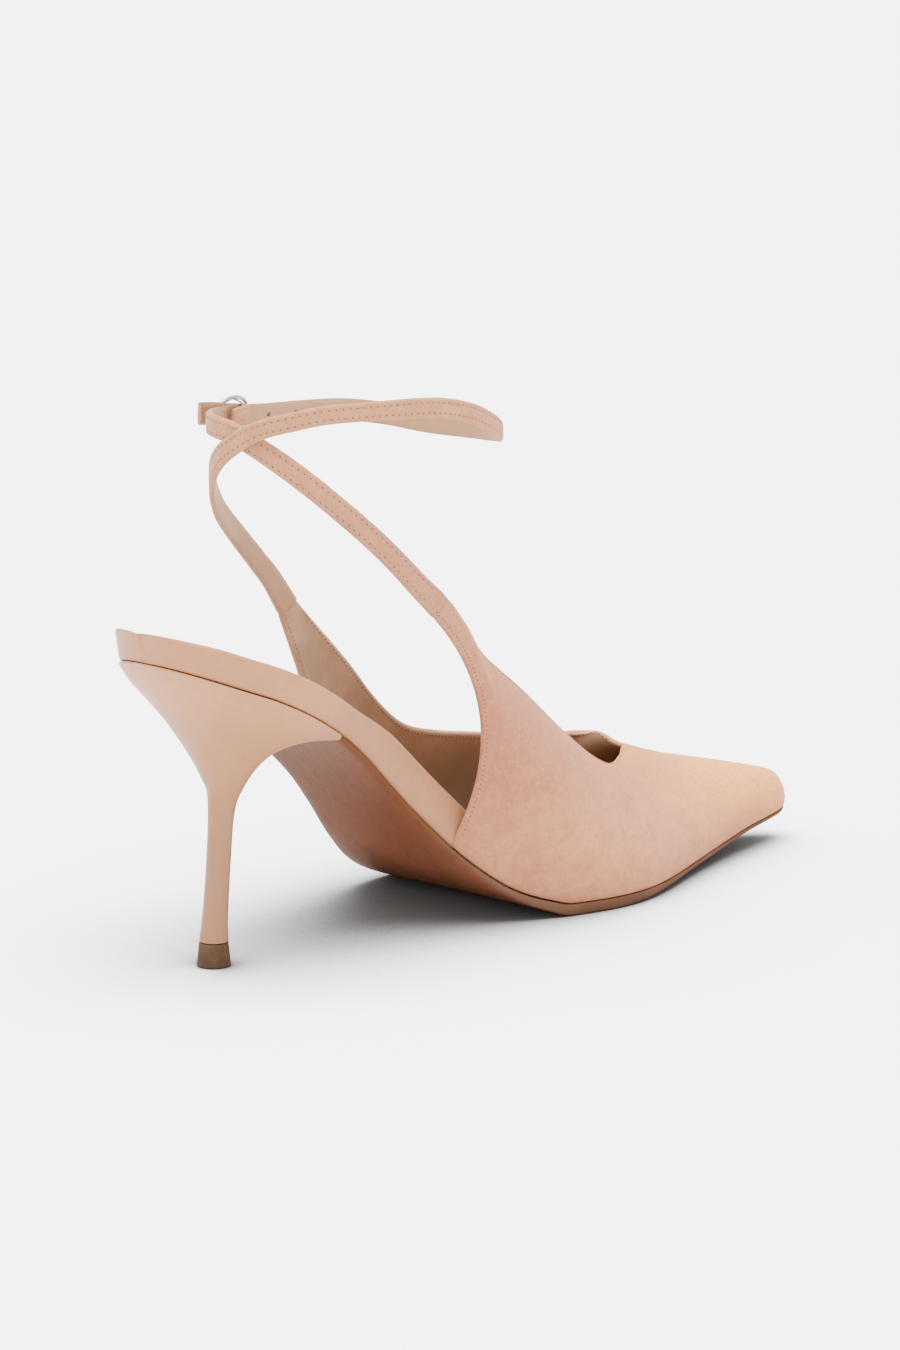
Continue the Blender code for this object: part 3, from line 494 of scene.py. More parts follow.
def slab_ring(along, bottom, top, insets, edge_round, dish=0.0, bulge=0.0, lean=0.0):
    """Closed section of a slab: its underside from inner to outer edge, then its top."""
    centre = column(LAST, "swing", along) * BALL_HALF
    half = half_width(along)
    inner = -(half - insets[0])
    outer = half - insets[1]
    radius = min(edge_round, 0.45 * (top - bottom), 0.45 * (outer - inner))
    ring = []

    def put(side, height, depth):
        share = 2 * (side - inner) / (outer - inner) - 1
        place = min(along + bulge * (1 - share * share), 1.0)
        normal = bed_normal(place)
        back = np.array([-normal[2], 0.0, normal[0]]) * lean * (height - bottom) / (top - bottom)
        point = bed_point(place)
        point[1] = centre + side
        ring.append(point + back + normal * (height - depth * (1 - share * share)))

    flat = np.linspace(inner + radius, outer - radius, ACROSS)
    corner = radius * (1 - math.sqrt(0.5))
    put(inner, bottom + radius, 0.0)
    put(inner + corner, bottom + corner, 0.0)
    for side in flat:
        put(side, bottom, 0.0)
    put(outer - corner, bottom + corner, 0.0)
    put(outer, bottom + radius, 0.0)
    put(outer, top - radius, 0.0)
    put(outer - corner, top - corner, 0.0)
    for side in flat[::-1]:
        put(side, top, dish)
    put(inner + corner, top - corner, 0.0)
    put(inner, top - radius, 0.0)
    return ring


def vamp_rib(row, side):
    """Control points of a rib of the vamp, from the sole's edge to the ridge."""
    foot = edge_point(VAMP["foot"][row], side)
    foot[2] += CLEARANCE
    top = ridge_point(row)
    fore = VAMP["fore"][row] * LAST_LENGTH
    rise = top[2] - foot[2]
    flare = side * VAMP["flare"][row] * BALL_HALF
    shoulder = side * VAMP["shoulder"][row] * BALL_HALF
    low = foot + np.array([fore, flare, VAMP["lift"][row] * rise])
    high = top + np.array([fore * RIDGE_FORE, shoulder, 0.0])
    return foot, low, high, top


def wing_rib(wing, row, side):
    """Control points of a rib of a wing, from the sole's edge to the wing's front edge or strap."""
    foot = edge_point(wing["foot"][row], side)
    foot[2] += CLEARANCE
    top = np.array([
        wing["top"][row] * LAST_LENGTH - HEEL_SETBACK,
        wing["side"][row] * BALL_HALF,
        wing["rise"][row] * LOOP_LEVEL])
    sizes = np.array([LAST_LENGTH, side * BALL_HALF, LOOP_LEVEL])
    low = foot + sizes * [wing["foot_fore"][row], wing["foot_out"][row], wing["foot_up"][row]]
    high = top + sizes * [wing["top_fore"][row], wing["top_out"][row], wing["top_up"][row]]
    return foot, low, high, top


def ridge_point(place):
    """Point on the vamp's ridge, counted in ribs from the toe tip."""
    keys = np.arange(len(VAMP["top"]), dtype=float)
    point = bed_point(glide(keys, VAMP["top"], place))
    point[2] = glide(keys, VAMP["rise"], place) * THROAT_HEIGHT
    return point


def ankle_point(turn, level, off):
    """Point on the ankle's oval, or off it."""
    angle = math.radians(turn)
    half_length = ANKLE_LENGTH / 2 + off
    half_breadth = ANKLE_BREADTH / 2 + off
    return np.array([
        ANKLE_MIDDLE + half_length * math.cos(angle),
        ANKLE_SHIFT + half_breadth * math.sin(angle),
        level * LOOP_LEVEL])


def ankle_normal(turn):
    """Level direction out of the ankle's oval."""
    angle = math.radians(turn)
    return unit(np.array([
        math.cos(angle) / ANKLE_LENGTH, math.sin(angle) / ANKLE_BREADTH, 0.0]))


def strap_place(strap, turn, forward):
    """Middle of a strap at a turn."""
    keys = strap["turn"] * forward
    off = glide(keys, strap["off"], turn * forward) * STRAP_THICKNESS
    return ankle_point(turn, glide(keys, strap["level"], turn * forward), off)


def seat_outline():
    """Seat's outline from the middle of its back round the outer side, with the lip's arc."""
    side_count = RING_POINTS // 2 - LIP_POINTS
    dense = [0.0] + round_steps(SEAT_ROUND, 0.05, 40)
    dense += list(np.linspace(SEAT_ROUND, SEAT_SHARE, 40))[1:]
    lengths = walked(np.array([(along * LAST_LENGTH, half_width(along)) for along in dense]))
    alongs = np.interp(np.linspace(0, lengths[-1], side_count + 1), lengths, dense)
    outline = [(along, half_width(along)) for along in alongs]
    front_half = half_width(SEAT_SHARE)
    for place in range(1, LIP_POINTS + 1):
        side = math.cos(place / LIP_POINTS * math.pi / 2)
        along = SEAT_SHARE + LIP_BULGE / LAST_LENGTH * (1 - side * side)
        outline.append((along, front_half * side))
    return outline


def heel_rings():
    """Rings of the heel from its seat down to the top piece."""
    outline = seat_outline()
    full = outline + [(along, -side) for along, side in outline[-2:0:-1]]
    front_along = SEAT_SHARE + LIP_BULGE / LAST_LENGTH
    swing = column(LAST, "swing", SEAT_SHARE) * BALL_HALF
    seat = [bed_point(along) * [1, 0, 1] + [0, side + swing * ease(along / SEAT_SHARE), 0]
            for along, side in full]
    rim = SOLE_THICKNESS * BOTTOM["outsole"][0]
    deep = [rim * (RIM_SHARE + (1 - RIM_SHARE) * ease(along / SEAT_SHARE)) for along, side in full]
    rings = [seat, [point - bed_normal(along) * depth
                    for point, depth, (along, side) in zip(seat, deep, full)]]
    units = [(along / front_along, side / SEAT_HALF) for along, side in full]
    for row in range(len(FLARE["back"])):
        back, front = [
            np.array([FLARE[end][row] * SEAT_LENGTH, FLARE[end + "_level"][row] * HEEL_HEIGHT])
            for end in ("back", "front")]
        half = FLARE["half"][row] * SEAT_HALF
        blend = FLARE["round"][row]
        ring = []
        for place, (reach, side) in enumerate(units):
            angle = 2 * math.pi * place / RING_POINTS
            reach = reach * (1 - blend) + (0.5 - 0.5 * math.cos(angle)) * blend
            side = side * (1 - blend) + math.sin(angle) * blend
            fore, level = back + (front - back) * reach
            ring.append(np.array([fore, side * half, level]))
        rings.append(ring)
    foot = TOP_PIECE_HEIGHT + CLEARANCE
    top = STEM_TOP_SHARE * HEEL_HEIGHT
    for row in range(len(STEM["level"])):
        level = foot + STEM["level"][row] * (top - foot)
        fore = STEM["lean"][row] * STEM_TOP_LEAN
        radius = STEM["width"][row] * STEM_WIDTH / 2
        rings.append([np.array([fore - radius * math.cos(angle), radius * math.sin(angle), level])
                      for angle in turns(RING_POINTS)])
    return rings


def buckle_frame():
    """Middle of the buckle and its directions to the rear, up and outward."""
    centre = strap_place(BUCKLE_STRAP, BUCKLE_TURN, -1)
    out = ankle_normal(BUCKLE_TURN)
    return centre, np.array([-out[1], out[0], 0.0]), np.array([0.0, 0.0, 1.0]), out


def bar_place():
    """Middle of the bar, which lies in the buckle strap's fold."""
    end = BUCKLE_STRAP["turn"][-1]
    thickness = BUCKLE_STRAP["thick"][-1] * STRAP_THICKNESS
    depth = BUCKLE_WIRE / 2 + CLEARANCE + thickness / 2
    return strap_place(BUCKLE_STRAP, end, -1) - ankle_normal(end) * depth


# Meshes

def new_object(name, vertices, faces, materials, slots=None):
    """New object in the scene with a mesh of these faces."""
    mesh = bpy.data.meshes.new(name)
    mesh.from_pydata([tuple(point) for point in vertices], [], faces)
    for material in materials:
        mesh.materials.append(material)
    if slots is not None:
        mesh.polygons.foreach_set("material_index", np.array(slots, np.int32))
    mesh.shade_smooth()
    thing = bpy.data.objects.new(name, mesh)
    bpy.context.scene.collection.objects.link(thing)
    return thing


def make_mesh(name, vertices, faces, materials, slots=None):
    """New object with merged vertices and faces that point outward."""
    thing = new_object(name, vertices, faces, materials, slots)
    work = bmesh.new()
    work.from_mesh(thing.data)
    bmesh.ops.remove_doubles(work, verts=work.verts, dist=1e-6)
    bmesh.ops.recalc_face_normals(work, faces=work.faces)
    work.to_mesh(thing.data)
    work.free()
    return thing


def only(thing):
    """Select one object alone and make it active."""
    bpy.ops.object.select_all(action="DESELECT")
    thing.select_set(True)
    bpy.context.view_layer.objects.active = thing


def apply_all(thing):
    """Apply an object's modifiers in order."""
    only(thing)
    for modifier in list(thing.modifiers):
        bpy.ops.object.modifier_apply(modifier=modifier.name)


def place_piece(thing, nodes):
    """Put a finished piece on the body, in place of its nodes."""
    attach(thing, "root")
    if nodes:
        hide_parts(*nodes)


# Lines of stitches

def resample(points, normals, pitch):
    """Places, directions and normals every pitch along a line, and the true pitch."""
    walk = walked(points)
    count = max(int(walk[-1] / pitch), 1)
    step = walk[-1] / count
    at = (np.arange(count) + 0.5) * step
    ahead = along_line(at + step / 4, walk, points)
    behind = along_line(at - step / 4, walk, points)
    facing = unit(along_line(at, walk, normals))
    return along_line(at, walk, points), unit(ahead - behind), facing, step


def stitch_mesh(name, lines, pitch, share, radius, rise, kit):
    """Rows of short threads that dive into needle holes at both ends, each hole a dark disc of
    painted shade.
    """
    vertices = []
    faces = []
    slots = []
    for points, normals in lines:
        places, along, facing, step = resample(points, normals, pitch)
        for centre, forward, out in zip(places, along, facing):
            side = np.cross(out, forward)
            start = len(vertices)
            for run in np.linspace(-1, 1, THREAD_RINGS):
                level = rise * (1 - run * run) - radius * 0.9
                middle = centre + forward * run * step * share / 2 + out * level
                for angle in turns(THREAD_SIDES):
                    spoke = side * math.cos(angle) + out * math.sin(angle)
                    vertices.append(middle + spoke * radius)
            faces += tube_faces(start, THREAD_RINGS, THREAD_SIDES)
            slots += [0] * (len(faces) - len(slots))
            start = len(vertices)
            # Dark disc of painted shade for the needle hole
            middle = centre + forward * step / 2 + out * NEEDLE_LIFT
            for angle in turns(NEEDLE_SIDES):
                spoke = forward * math.cos(angle) * NEEDLE_STRETCH + side * math.sin(angle)
                vertices.append(middle + spoke * radius * NEEDLE_SHARE)
            faces += flat_cap(start, NEEDLE_SIDES)
            slots.append(1)
    return new_object(name, vertices, faces, [kit["thread"], kit["hole"]], slots)


# Shaders

class Wire:
    """A shader socket that takes part in products."""

    def __init__(self, graph, socket):
        self.graph = graph
        self.socket = socket

    def __mul__(self, other):
        return self.graph.add("ShaderNodeMath", {"operation": "MULTIPLY"}, {0: self, 1: other})

    def __rmul__(self, other):
        return self * other


class Graph:
    """Node tree of one new material."""

    def __init__(self, name):
        self.material = bpy.data.materials.new(name)
        self.material.use_nodes = True
        self.tree = self.material.node_tree
        self.shader = self.tree.nodes["Principled BSDF"]
        self.place = self.add("ShaderNodeTexCoord", {}, {}, "Object")

    def add(self, kind, settings=None, sockets=None, output=0):
        """Add a node, set it up and return one of its outputs."""
        node = self.tree.nodes.new(kind)
        for name, value in (settings or {}).items():
            setattr(node, name, value)
        for name, value in (sockets or {}).items():
            self.feed(node.inputs[name], value)
        return Wire(self, node.outputs[output])

    def feed(self, socket, value):
        """Link a wire to a socket, or set the socket's own value."""
        if isinstance(value, Wire):
            self.tree.links.new(value.socket, socket)
        elif isinstance(value, tuple) and len(value) == 3 and socket.type == "RGBA":
            socket.default_value = (*value, 1.0)
        else:
            socket.default_value = value

    def noise(self, scale, detail=3.0, roughness=0.55, distortion=0.0, vector=None):
        """Noise from 0 to 1 with features about a metre over scale in size."""
        return self.add("ShaderNodeTexNoise", {}, {
            "Vector": vector or self.place, "Scale": scale, "Detail": detail,
            "Roughness": roughness, "Distortion": distortion})

    def cells(self, scale):
        """Distance to the nearest of scattered points."""
        return self.add("ShaderNodeTexVoronoi", {"feature": "F1"},
                        {"Vector": self.place, "Scale": scale}, "Distance")

    def fit(self, value, low, high, to_low=0.0, to_high=1.0):
        """Smooth step of a value from one range to another."""
        return self.add("ShaderNodeMapRange", {"interpolation_type": "SMOOTHSTEP"}, {
            "Value": value, "From Min": low, "From Max": high,
            "To Min": to_low, "To Max": to_high})

    def blend(self, share, first, second):
        """Mix of two colours, which a Mix node takes on its sockets 6 and 7."""
        return self.add("ShaderNodeMix", {"data_type": "RGBA"}, {0: share, 6: first, 7: second}, 2)

    def axis(self, name):
        """One coordinate of the object's own place."""
        return self.add("ShaderNodeSeparateXYZ", {}, {0: self.place}, name)

    def bump(self, height, depth, strength=1.0, under=None):
        """Normal from a height from 0 to 1 that is depth metres deep."""
        sockets = {"Height": height, "Distance": depth, "Strength": strength}
        if under is not None:
            sockets["Normal"] = under
        return self.add("ShaderNodeBump", {}, sockets)

    def surface(self, **sockets):
        """Feed the shader's sockets; underscores stand for spaces."""
        for name, value in sockets.items():
            self.feed(self.shader.inputs[name.replace("_", " ")], value)
        return self.material


def suede(name, base, tones, nap_depth):
    """Napped leather: mottled tone, soft clouds of brushed nap, short fibres, painted bounce light
    low down and a painted highlight on the toe.
    """
    graph = Graph(name)
    clouds = graph.noise(30.0, 3.0, 0.6, 0.6)
    patches = graph.noise(170.0, 4.0, 0.65, 0.3)
    flecks = graph.noise(620.0, 4.0, 0.75)
    specks = graph.noise(1000.0, 3.0, 0.7)
    fibres = graph.noise(3400.0, 4.0, 0.75)
    height = graph.axis("Z")
    low = graph.fit(height, *LOW_BOUNCE_LIGHT_LEVEL)
    # Painted highlight on the top of the toe
    toe = graph.fit(graph.axis("X"), *TOE_HIGHLIGHT_REACH) * graph.fit(height, *TOE_HIGHLIGHT_LEVEL)
    colour = graph.blend(graph.fit(clouds, 0.40, 0.62), tones["suede_shade"], base)
    # Painted bounce light: the suede turns lighter towards the floor
    colour = graph.blend(low * 0.45, colour, tones["suede_nap"])
    colour = graph.blend(graph.fit(height, *STRAP_LEVEL), colour, tones["suede_strap"])
    colour = graph.blend(graph.fit(height, *LOOP_TINT_LEVEL) * 0.8, colour, tones["suede_loop"])
    colour = graph.blend(graph.fit(patches, 0.42, 0.62) * 0.50, colour, tones["suede_shade"])
    colour = graph.blend(toe * 0.80, colour, tones["suede_toe"])
    colour = graph.blend(graph.fit(flecks, 0.45, 0.68) * 0.40, colour, tones["suede_nap"])
    colour = graph.blend(graph.fit(specks, 0.46, 0.66) * 0.40, colour, tones["suede_shade"])
    colour = graph.blend(graph.fit(fibres, 0.40, 0.70) * 0.25, colour, tones["suede_nap"])
    nap = graph.bump(patches, nap_depth * 2.0, 0.4)
    nap = graph.bump(specks, nap_depth, 0.5, nap)
    nap = graph.bump(fibres, nap_depth * 0.5, 0.7, nap)
    rough = graph.fit(specks, 0.3, 0.7, 0.84, 0.97)
    return graph.surface(
        Base_Color=colour, Roughness=rough, Normal=nap, Sheen_Weight=0.08, Sheen_Roughness=0.5,
        Sheen_Tint=(1.0, 0.80, 0.68), Specular_IOR_Level=0.12)


def leather(name, tones, levels, rough, grain):
    """Smooth leather with pores and faint clouds; its last tone fades out between two levels."""
    base, shade, light, deep = tones
    graph = Graph(name)
    clouds = graph.noise(45.0, 3.0, 0.55)
    streaks = graph.noise(260.0, 4.0, 0.6, 0.4)
    pores = graph.cells(1900.0)
    fine = graph.noise(3000.0, 3.0, 0.6)
    colour = graph.blend(graph.fit(clouds, 0.35, 0.65), shade, base)
    colour = graph.blend(graph.fit(streaks, 0.45, 0.70) * 0.35, colour, light)
    # The last tone comes in low down; on the lining and the heel it is painted shade
    colour = graph.blend(graph.fit(graph.axis("Z"), *levels), deep, colour)
    colour = graph.blend(graph.fit(pores, 0.0, 0.30, 0.20, 0.0), colour, shade)
    normal = graph.bump(pores, grain, 0.5)
    normal = graph.bump(fine, grain * 0.5, 0.4, normal)
    normal = graph.bump(streaks, grain * 1.5, 0.35, normal)
    gloss = graph.fit(streaks, 0.3, 0.7, rough - 0.06, rough + 0.08)
    return graph.surface(Base_Color=colour, Roughness=gloss, Normal=normal, Specular_IOR_Level=0.22)


def sole_leather(name, base, shade, light, waist):
    """Stained and waxed sole leather with painted shade under the waist and light scuffs at the
    tread.
    """
    graph = Graph(name)
    clouds = graph.noise(30.0, 4.0, 0.6, 0.5)
    grain = graph.noise(700.0, 4.0, 0.65)
    height = graph.axis("Z")
    along = graph.add("ShaderNodeCombineXYZ", {}, {
        "X": graph.axis("X") * 0.35, "Y": graph.axis("Y") * 2.2, "Z": height})
    scuffs = graph.noise(420.0, 5.0, 0.7, 0.8, vector=along)
    pores = graph.cells(1600.0)
    colour = graph.blend(graph.fit(clouds, 0.35, 0.65), shade, base)
    colour = graph.blend(graph.fit(grain, 0.45, 0.75) * 0.25, colour, light)
    worn = graph.fit(scuffs, 0.62, 0.78) * graph.fit(height, *TREAD_LEVEL)
    colour = graph.blend(worn * 0.35, colour, light)
    colour = graph.blend(graph.fit(pores, 0.0, 0.22, 0.25, 0.0), colour, shade)
    # Painted shade under the waist
    colour = graph.blend(graph.fit(height, *WAIST_SHADE_LEVEL) * 0.75, colour, waist)
    normal = graph.bump(grain, 0.00006, 0.4)
    normal = graph.bump(pores, 0.00003, 0.3, normal)
    normal = graph.bump(scuffs, 0.00005, 0.3, normal)
    rough = graph.fit(scuffs, 0.3, 0.8, 0.44, 0.56)
    return graph.surface(Base_Color=colour, Roughness=rough, Normal=normal, Specular_IOR_Level=0.02)


def metal(name, colour, dark):
    """Polished plated wire with faint brushing and dull specks."""
    graph = Graph(name)
    wear = graph.noise(600.0, 4.0, 0.7)
    fine = graph.noise(4200.0, 2.0, 0.5)
    tone = graph.blend(graph.fit(wear, 0.4, 0.7) * 0.4, colour, dark)
    rough = graph.fit(wear, 0.35, 0.75, 0.12, 0.30)
    normal = graph.bump(fine, 0.00001, 0.4)
    return graph.surface(Base_Color=tone, Roughness=rough, Metallic=1.0, Normal=normal)


def rubber(name, base, light):
    """Moulded top piece with a fine grain and a rubbed foot."""
    graph = Graph(name)
    grain = graph.noise(1500.0, 4.0, 0.7)
    clouds = graph.noise(240.0, 3.0, 0.6)
    foot = graph.fit(graph.axis("Z"), *FOOT_LEVEL)
    colour = graph.blend(graph.fit(clouds, 0.35, 0.65) * 0.5, base, light)
    colour = graph.blend(foot * 0.4, colour, light)
    normal = graph.bump(grain, 0.00004, 0.6)
    rough = graph.fit(grain, 0.3, 0.7, 0.55, 0.72)
    return graph.surface(Base_Color=colour, Roughness=rough, Normal=normal, Specular_IOR_Level=0.15)


def thread(name, base, shade):
    """Twisted sewing thread."""
    graph = Graph(name)
    twist = graph.add("ShaderNodeTexWave", {"bands_direction": "DIAGONAL"}, {
        "Vector": graph.place, "Scale": 900.0, "Distortion": 1.0})
    colour = graph.blend(graph.fit(twist, 0.2, 0.8), shade, base)
    normal = graph.bump(twist, 0.00003, 0.6)
    return graph.surface(Base_Color=colour, Roughness=0.75, Normal=normal)


def painted_hole_shade(name, colour):
    """Painted shade at the bottom of a needle hole."""
    graph = Graph(name)
    tone = graph.blend(graph.noise(2500.0), colour, tuple(part * 0.6 for part in colour))
    return graph.surface(Base_Color=tone, Roughness=0.95)


def materials(scene):
    """The pump's materials by name, made once."""
    if not MADE:
        nap = scene.pump_finish.nap_depth
        tones = {name: tuple(getattr(scene.pump_colours, name))
                 for name in PumpColours.__annotations__}

        def pick(*names):
            return [tones[name] for name in names]

        MADE["suede"] = suede("suede", tones["suede_base"], tones, nap)
        MADE["edge"] = suede("suede_edge", tones["edge_base"], tones, nap)
        # The lining's deep tone is painted shade low in the shoe
        MADE["lining"] = leather(
            "lining_leather", pick("lining_base", "lining_shade", "lining_light", "lining_deep_shade"),
            LINING_SHADE_LEVEL, 0.6, 0.00004)
        MADE["strap_lining"] = leather(
            "strap_lining", pick("slip_base", "slip_shade", "slip_light", "slip_shade"),
            SLIP_LEVEL, 0.6, 0.00004)
        MADE["nude"] = leather(
            "nude_leather", pick("nude_base", "nude_shade", "nude_light", "nude_shade"),
            INSOLE_LEVEL, 0.5, 0.00003)
        # The heel's deep tone is painted shade low on the stem
        MADE["heel"] = leather(
            "heel_leather", pick("heel_base", "nude_base", "heel_light", "heel_stem_shade"),
            HEEL_SHADE_LEVEL, 0.5, 0.00003)
        MADE["sole"] = sole_leather(
            "sole_leather", *pick("sole_base", "sole_shade", "sole_light", "sole_waist_shade"))
        MADE["rim"] = sole_leather(
            "sole_edge", *pick("rim_base", "rim_shade", "sole_shade", "sole_waist_shade"))
        MADE["metal"] = metal("plated_metal", *pick("metal_silver", "metal_dark"))
        MADE["rubber"] = rubber("top_piece_rubber", *pick("top_brown", "top_light"))
        MADE["thread"] = thread("thread", *pick("thread_base", "thread_shade"))
        MADE["hole"] = painted_hole_shade("needle_hole", tones["hole_dark"])
    return MADE


# The upper

def upper_grid(wing, side):
    """Rows of points on the outer face of one side of the upper, from toe tip to rear edge."""
    feet = np.concatenate([VAMP["foot"], wing["foot"]])
    ribs = [vamp_rib(row, side) for row in range(len(VAMP["foot"]))]
    ribs += [wing_rib(wing, row, side) for row in range(len(wing["foot"]))]
    front, rear = strap_end(BUCKLE_STRAP if wing is INNER_WING else WRAP_STRAP)
    keys = np.arange(len(ribs), dtype=float)
    controls = np.array(ribs)
    controls[-2:, 3] = front, rear
    rows = []
    for place in np.linspace(0, len(ribs) - 1, (len(ribs) - 1) * UPPER_STEPS + 1):
        foot = edge_point(glide(keys, feet, place), side)
        foot[2] += CLEARANCE * SEAM_SHARE
        low, high = [glide_point(keys, controls[:, knot], place) for knot in (1, 2)]
        if place <= len(VAMP["foot"]) - 1:
            top = ridge_point(place)
        elif place <= len(ribs) - 2:
            top = glide_point(keys[:-1], controls[:-1, 3], place)
        else:
            share = place - (len(ribs) - 2)
            top = front * (1 - share) + rear * share
        share = np.linspace(0, 1, UPPER_POINTS)[:, None]
        rest = 1 - share
        rows.append(rest ** 3 * foot + 3 * rest ** 2 * share * low
                    + 3 * rest * share ** 2 * high + share ** 3 * top)
    grid = np.array(rows)
    for _ in range(SMOOTH_PASSES):
        around = (grid[:-2, 1:-1] + grid[2:, 1:-1] + grid[1:-1, :-2] + grid[1:-1, 2:]) / 4
        grid[1:-1, 1:-1] = (grid[1:-1, 1:-1] + around) / 2
    return grid


def grid_normals(grid, side):
    """Outward normals of a grid of points on one side of the upper."""
    normals = np.cross(np.gradient(grid, axis=0), np.gradient(grid, axis=1))
    normals /= np.maximum(np.linalg.norm(normals, axis=2), 1e-12)[:, :, None]
    if (normals[:, :, 1] * side).mean() < 0:
        normals = -normals
    return normals


def inset_line(columns, normals, distance):
    """Line that runs at a distance inside the first point of each column."""
    points = []
    facing = []
    for column_points, column_normals in zip(columns, normals):
        walk = walked(column_points)
        points.append(along_line(distance, walk, column_points))
        facing.append(along_line(distance, walk, column_normals))
    return np.array(points), np.array(facing)


def strap_rings_at(strap, keys, forward):
    """Middle, direction, outward normal, half width and thickness of a strap at each turn."""
    table_keys = strap["turn"] * forward
    places = []
    for key in keys:
        ahead = strap_place(strap, min(key + TURN_STEP, table_keys[-1]) * forward, forward)
        behind = strap_place(strap, max(key - TURN_STEP, table_keys[0]) * forward, forward)
        along = unit(ahead - behind)
        across = unit(np.cross(ankle_normal(key * forward), along))
        places.append((
            strap_place(strap, key * forward, forward), along, across, np.cross(along, across),
            glide(table_keys, strap["width"], key) * STRAP_WIDTH / 2,
            glide(table_keys, strap["thick"], key) * STRAP_THICKNESS))
    return places


def strap_end(strap):
    """Front and rear corner, on the outer face, of the wing's cut that faces a strap."""
    forward = 1 if strap["turn"][-1] > strap["turn"][0] else -1
    keys = strap["turn"] * forward
    middle, along, across, out, half, _ = strap_rings_at(strap, [keys[0]], forward)[0]
    face = middle + out * STRAP_THICKNESS / 2 - along * CLEARANCE * 2
    corners = sorted([face + across * half, face - across * half], key=lambda point: -point[0])
    return corners[0], corners[1]


def make_upper(scene):
    """Suede shell with its lining, folded edges and rows of stitches."""
    kit = materials(scene)
    finish = scene.pump_finish
    vertices = []
    faces = []
    lines = []
    lining_lines = []
    for wing, side in ((INNER_WING, -1), (OUTER_WING, 1)):
        grid = upper_grid(wing, side)
        normals = grid_normals(grid, side)
        start = len(vertices)
        vertices += [point for row in grid for point in row]
        for row in range(len(grid) - 1):
            for place in range(UPPER_POINTS - 1):
                corner = start + row * UPPER_POINTS + place
                after = corner + UPPER_POINTS
                faces.append((corner, corner + 1, after + 1, after))
        throat = (len(VAMP["foot"]) - 1) * UPPER_STEPS
        last = (len(grid) - 1) // UPPER_STEPS - 1
        front = slice(throat + 2, last * UPPER_STEPS)
        lines.append(inset_line(grid[front, ::-1], normals[front, ::-1], finish.stitch_inset))
        columns = grid[::-1, 1:].transpose(1, 0, 2)
        facing = normals[::-1, 1:].transpose(1, 0, 2)
        lines.append(inset_line(columns, facing, finish.stitch_inset))
        for points, outward in lines[-2:]:
            lining_lines.append((points - outward * UPPER_WALL, -outward))
    upper = make_mesh("upper_suede", vertices, faces, [kit["suede"], kit["lining"], kit["edge"]])
    if sum(face.normal.y * face.center.y * face.area for face in upper.data.polygons) < 0:
        upper.data.flip_normals()
    wall = upper.modifiers.new("wall", "SOLIDIFY")
    wall.thickness = UPPER_WALL
    wall.offset = -1.0
    wall.use_even_offset = True
    wall.material_offset = 1
    wall.material_offset_rim = 2
    fine = upper.modifiers.new("fine", "SUBSURF")
    fine.levels = 1
    fine.render_levels = 1
    apply_all(upper)
    place_piece(upper, ["upper"])
    for name, rows in (("upper_stitches", lines), ("lining_stitches", lining_lines)):
        place_piece(stitch_mesh(name, rows, finish.edge_pitch, EDGE_STITCH, finish.thread_radius,
                                finish.thread_rise, kit), [])


# Sole and insole

def rim_slots(rings, count, total):
    """Second material on the faces round a slab's edge."""
    edge = (0, ACROSS + 2, ACROSS + 3, ACROSS + 4, count - 2, count - 1)
    walls = [1 if number % count in edge else 0 for number in range((rings - 1) * count)]
    return walls + [0] * (total - len(walls))


def make_sole(scene):
    """Leather outsole and the covered insole over it."""
    kit = materials(scene)
    start = SEAT_SHARE + CLEARANCE / LAST_LENGTH
    places = list(np.linspace(start, 1 - TOE_ROUND, 150))
    places += [1 - TOE_ROUND + TOE_ROUND * math.sin(angle)
               for angle in np.radians(np.linspace(6, 78, 13))]
    rings = []
    for along in places:
        thickness = column(BOTTOM, "outsole", along) * SOLE_THICKNESS
        bulge = LIP_BULGE / LAST_LENGTH * (1 - ease((along - SEAT_SHARE) / BULGE_SHARE))
        rings.append(slab_ring(
            along, -thickness, 0.0, (0.0, 0.0), SOLE_EDGE_ROUND, bulge=bulge))
    vertices, faces = loft(rings, rungs)
    outsole = make_mesh("outsole_leather", vertices, faces, [kit["sole"], kit["rim"]],
                        rim_slots(len(rings), len(rings[0]), len(faces)))
    outsole.data.set_sharp_from_angle(angle=math.radians(50))
    place_piece(outsole, ["outsole"])

    places = round_steps(SEAT_ROUND, 0.08, 22) + list(np.linspace(SEAT_ROUND, 0.34, 50))[1:]
    places += list(np.linspace(0.343, 0.40, 64)) + list(np.linspace(0.41, 0.90, 70))
    places += [0.925, 0.95, INSOLE_END]
    rings = []
    for along in places:
        thickness = column(BOTTOM, "insole", along) * INSOLE_THICKNESS
        dish = column(BOTTOM, "dish", along) * INSOLE_DISH
        covered = UPPER_WALL + 2 * CLEARANCE
        insets = [covered * ease((along - wing["foot"][-1]) / TUCK_RUN)
                  for wing in (INNER_WING, OUTER_WING)]
        lean = INSOLE_OVERHANG * (1 - ease(along / OVERHANG_SHARE))
        rings.append(slab_ring(along, CLEARANCE, CLEARANCE + thickness, insets,
                               INSOLE_EDGE_ROUND, dish=dish, lean=lean))
    vertices, faces = loft(rings, rungs)
    insole = make_mesh("insole_leather", vertices, faces, [kit["nude"]])
    place_piece(insole, ["insole"])


# The heel

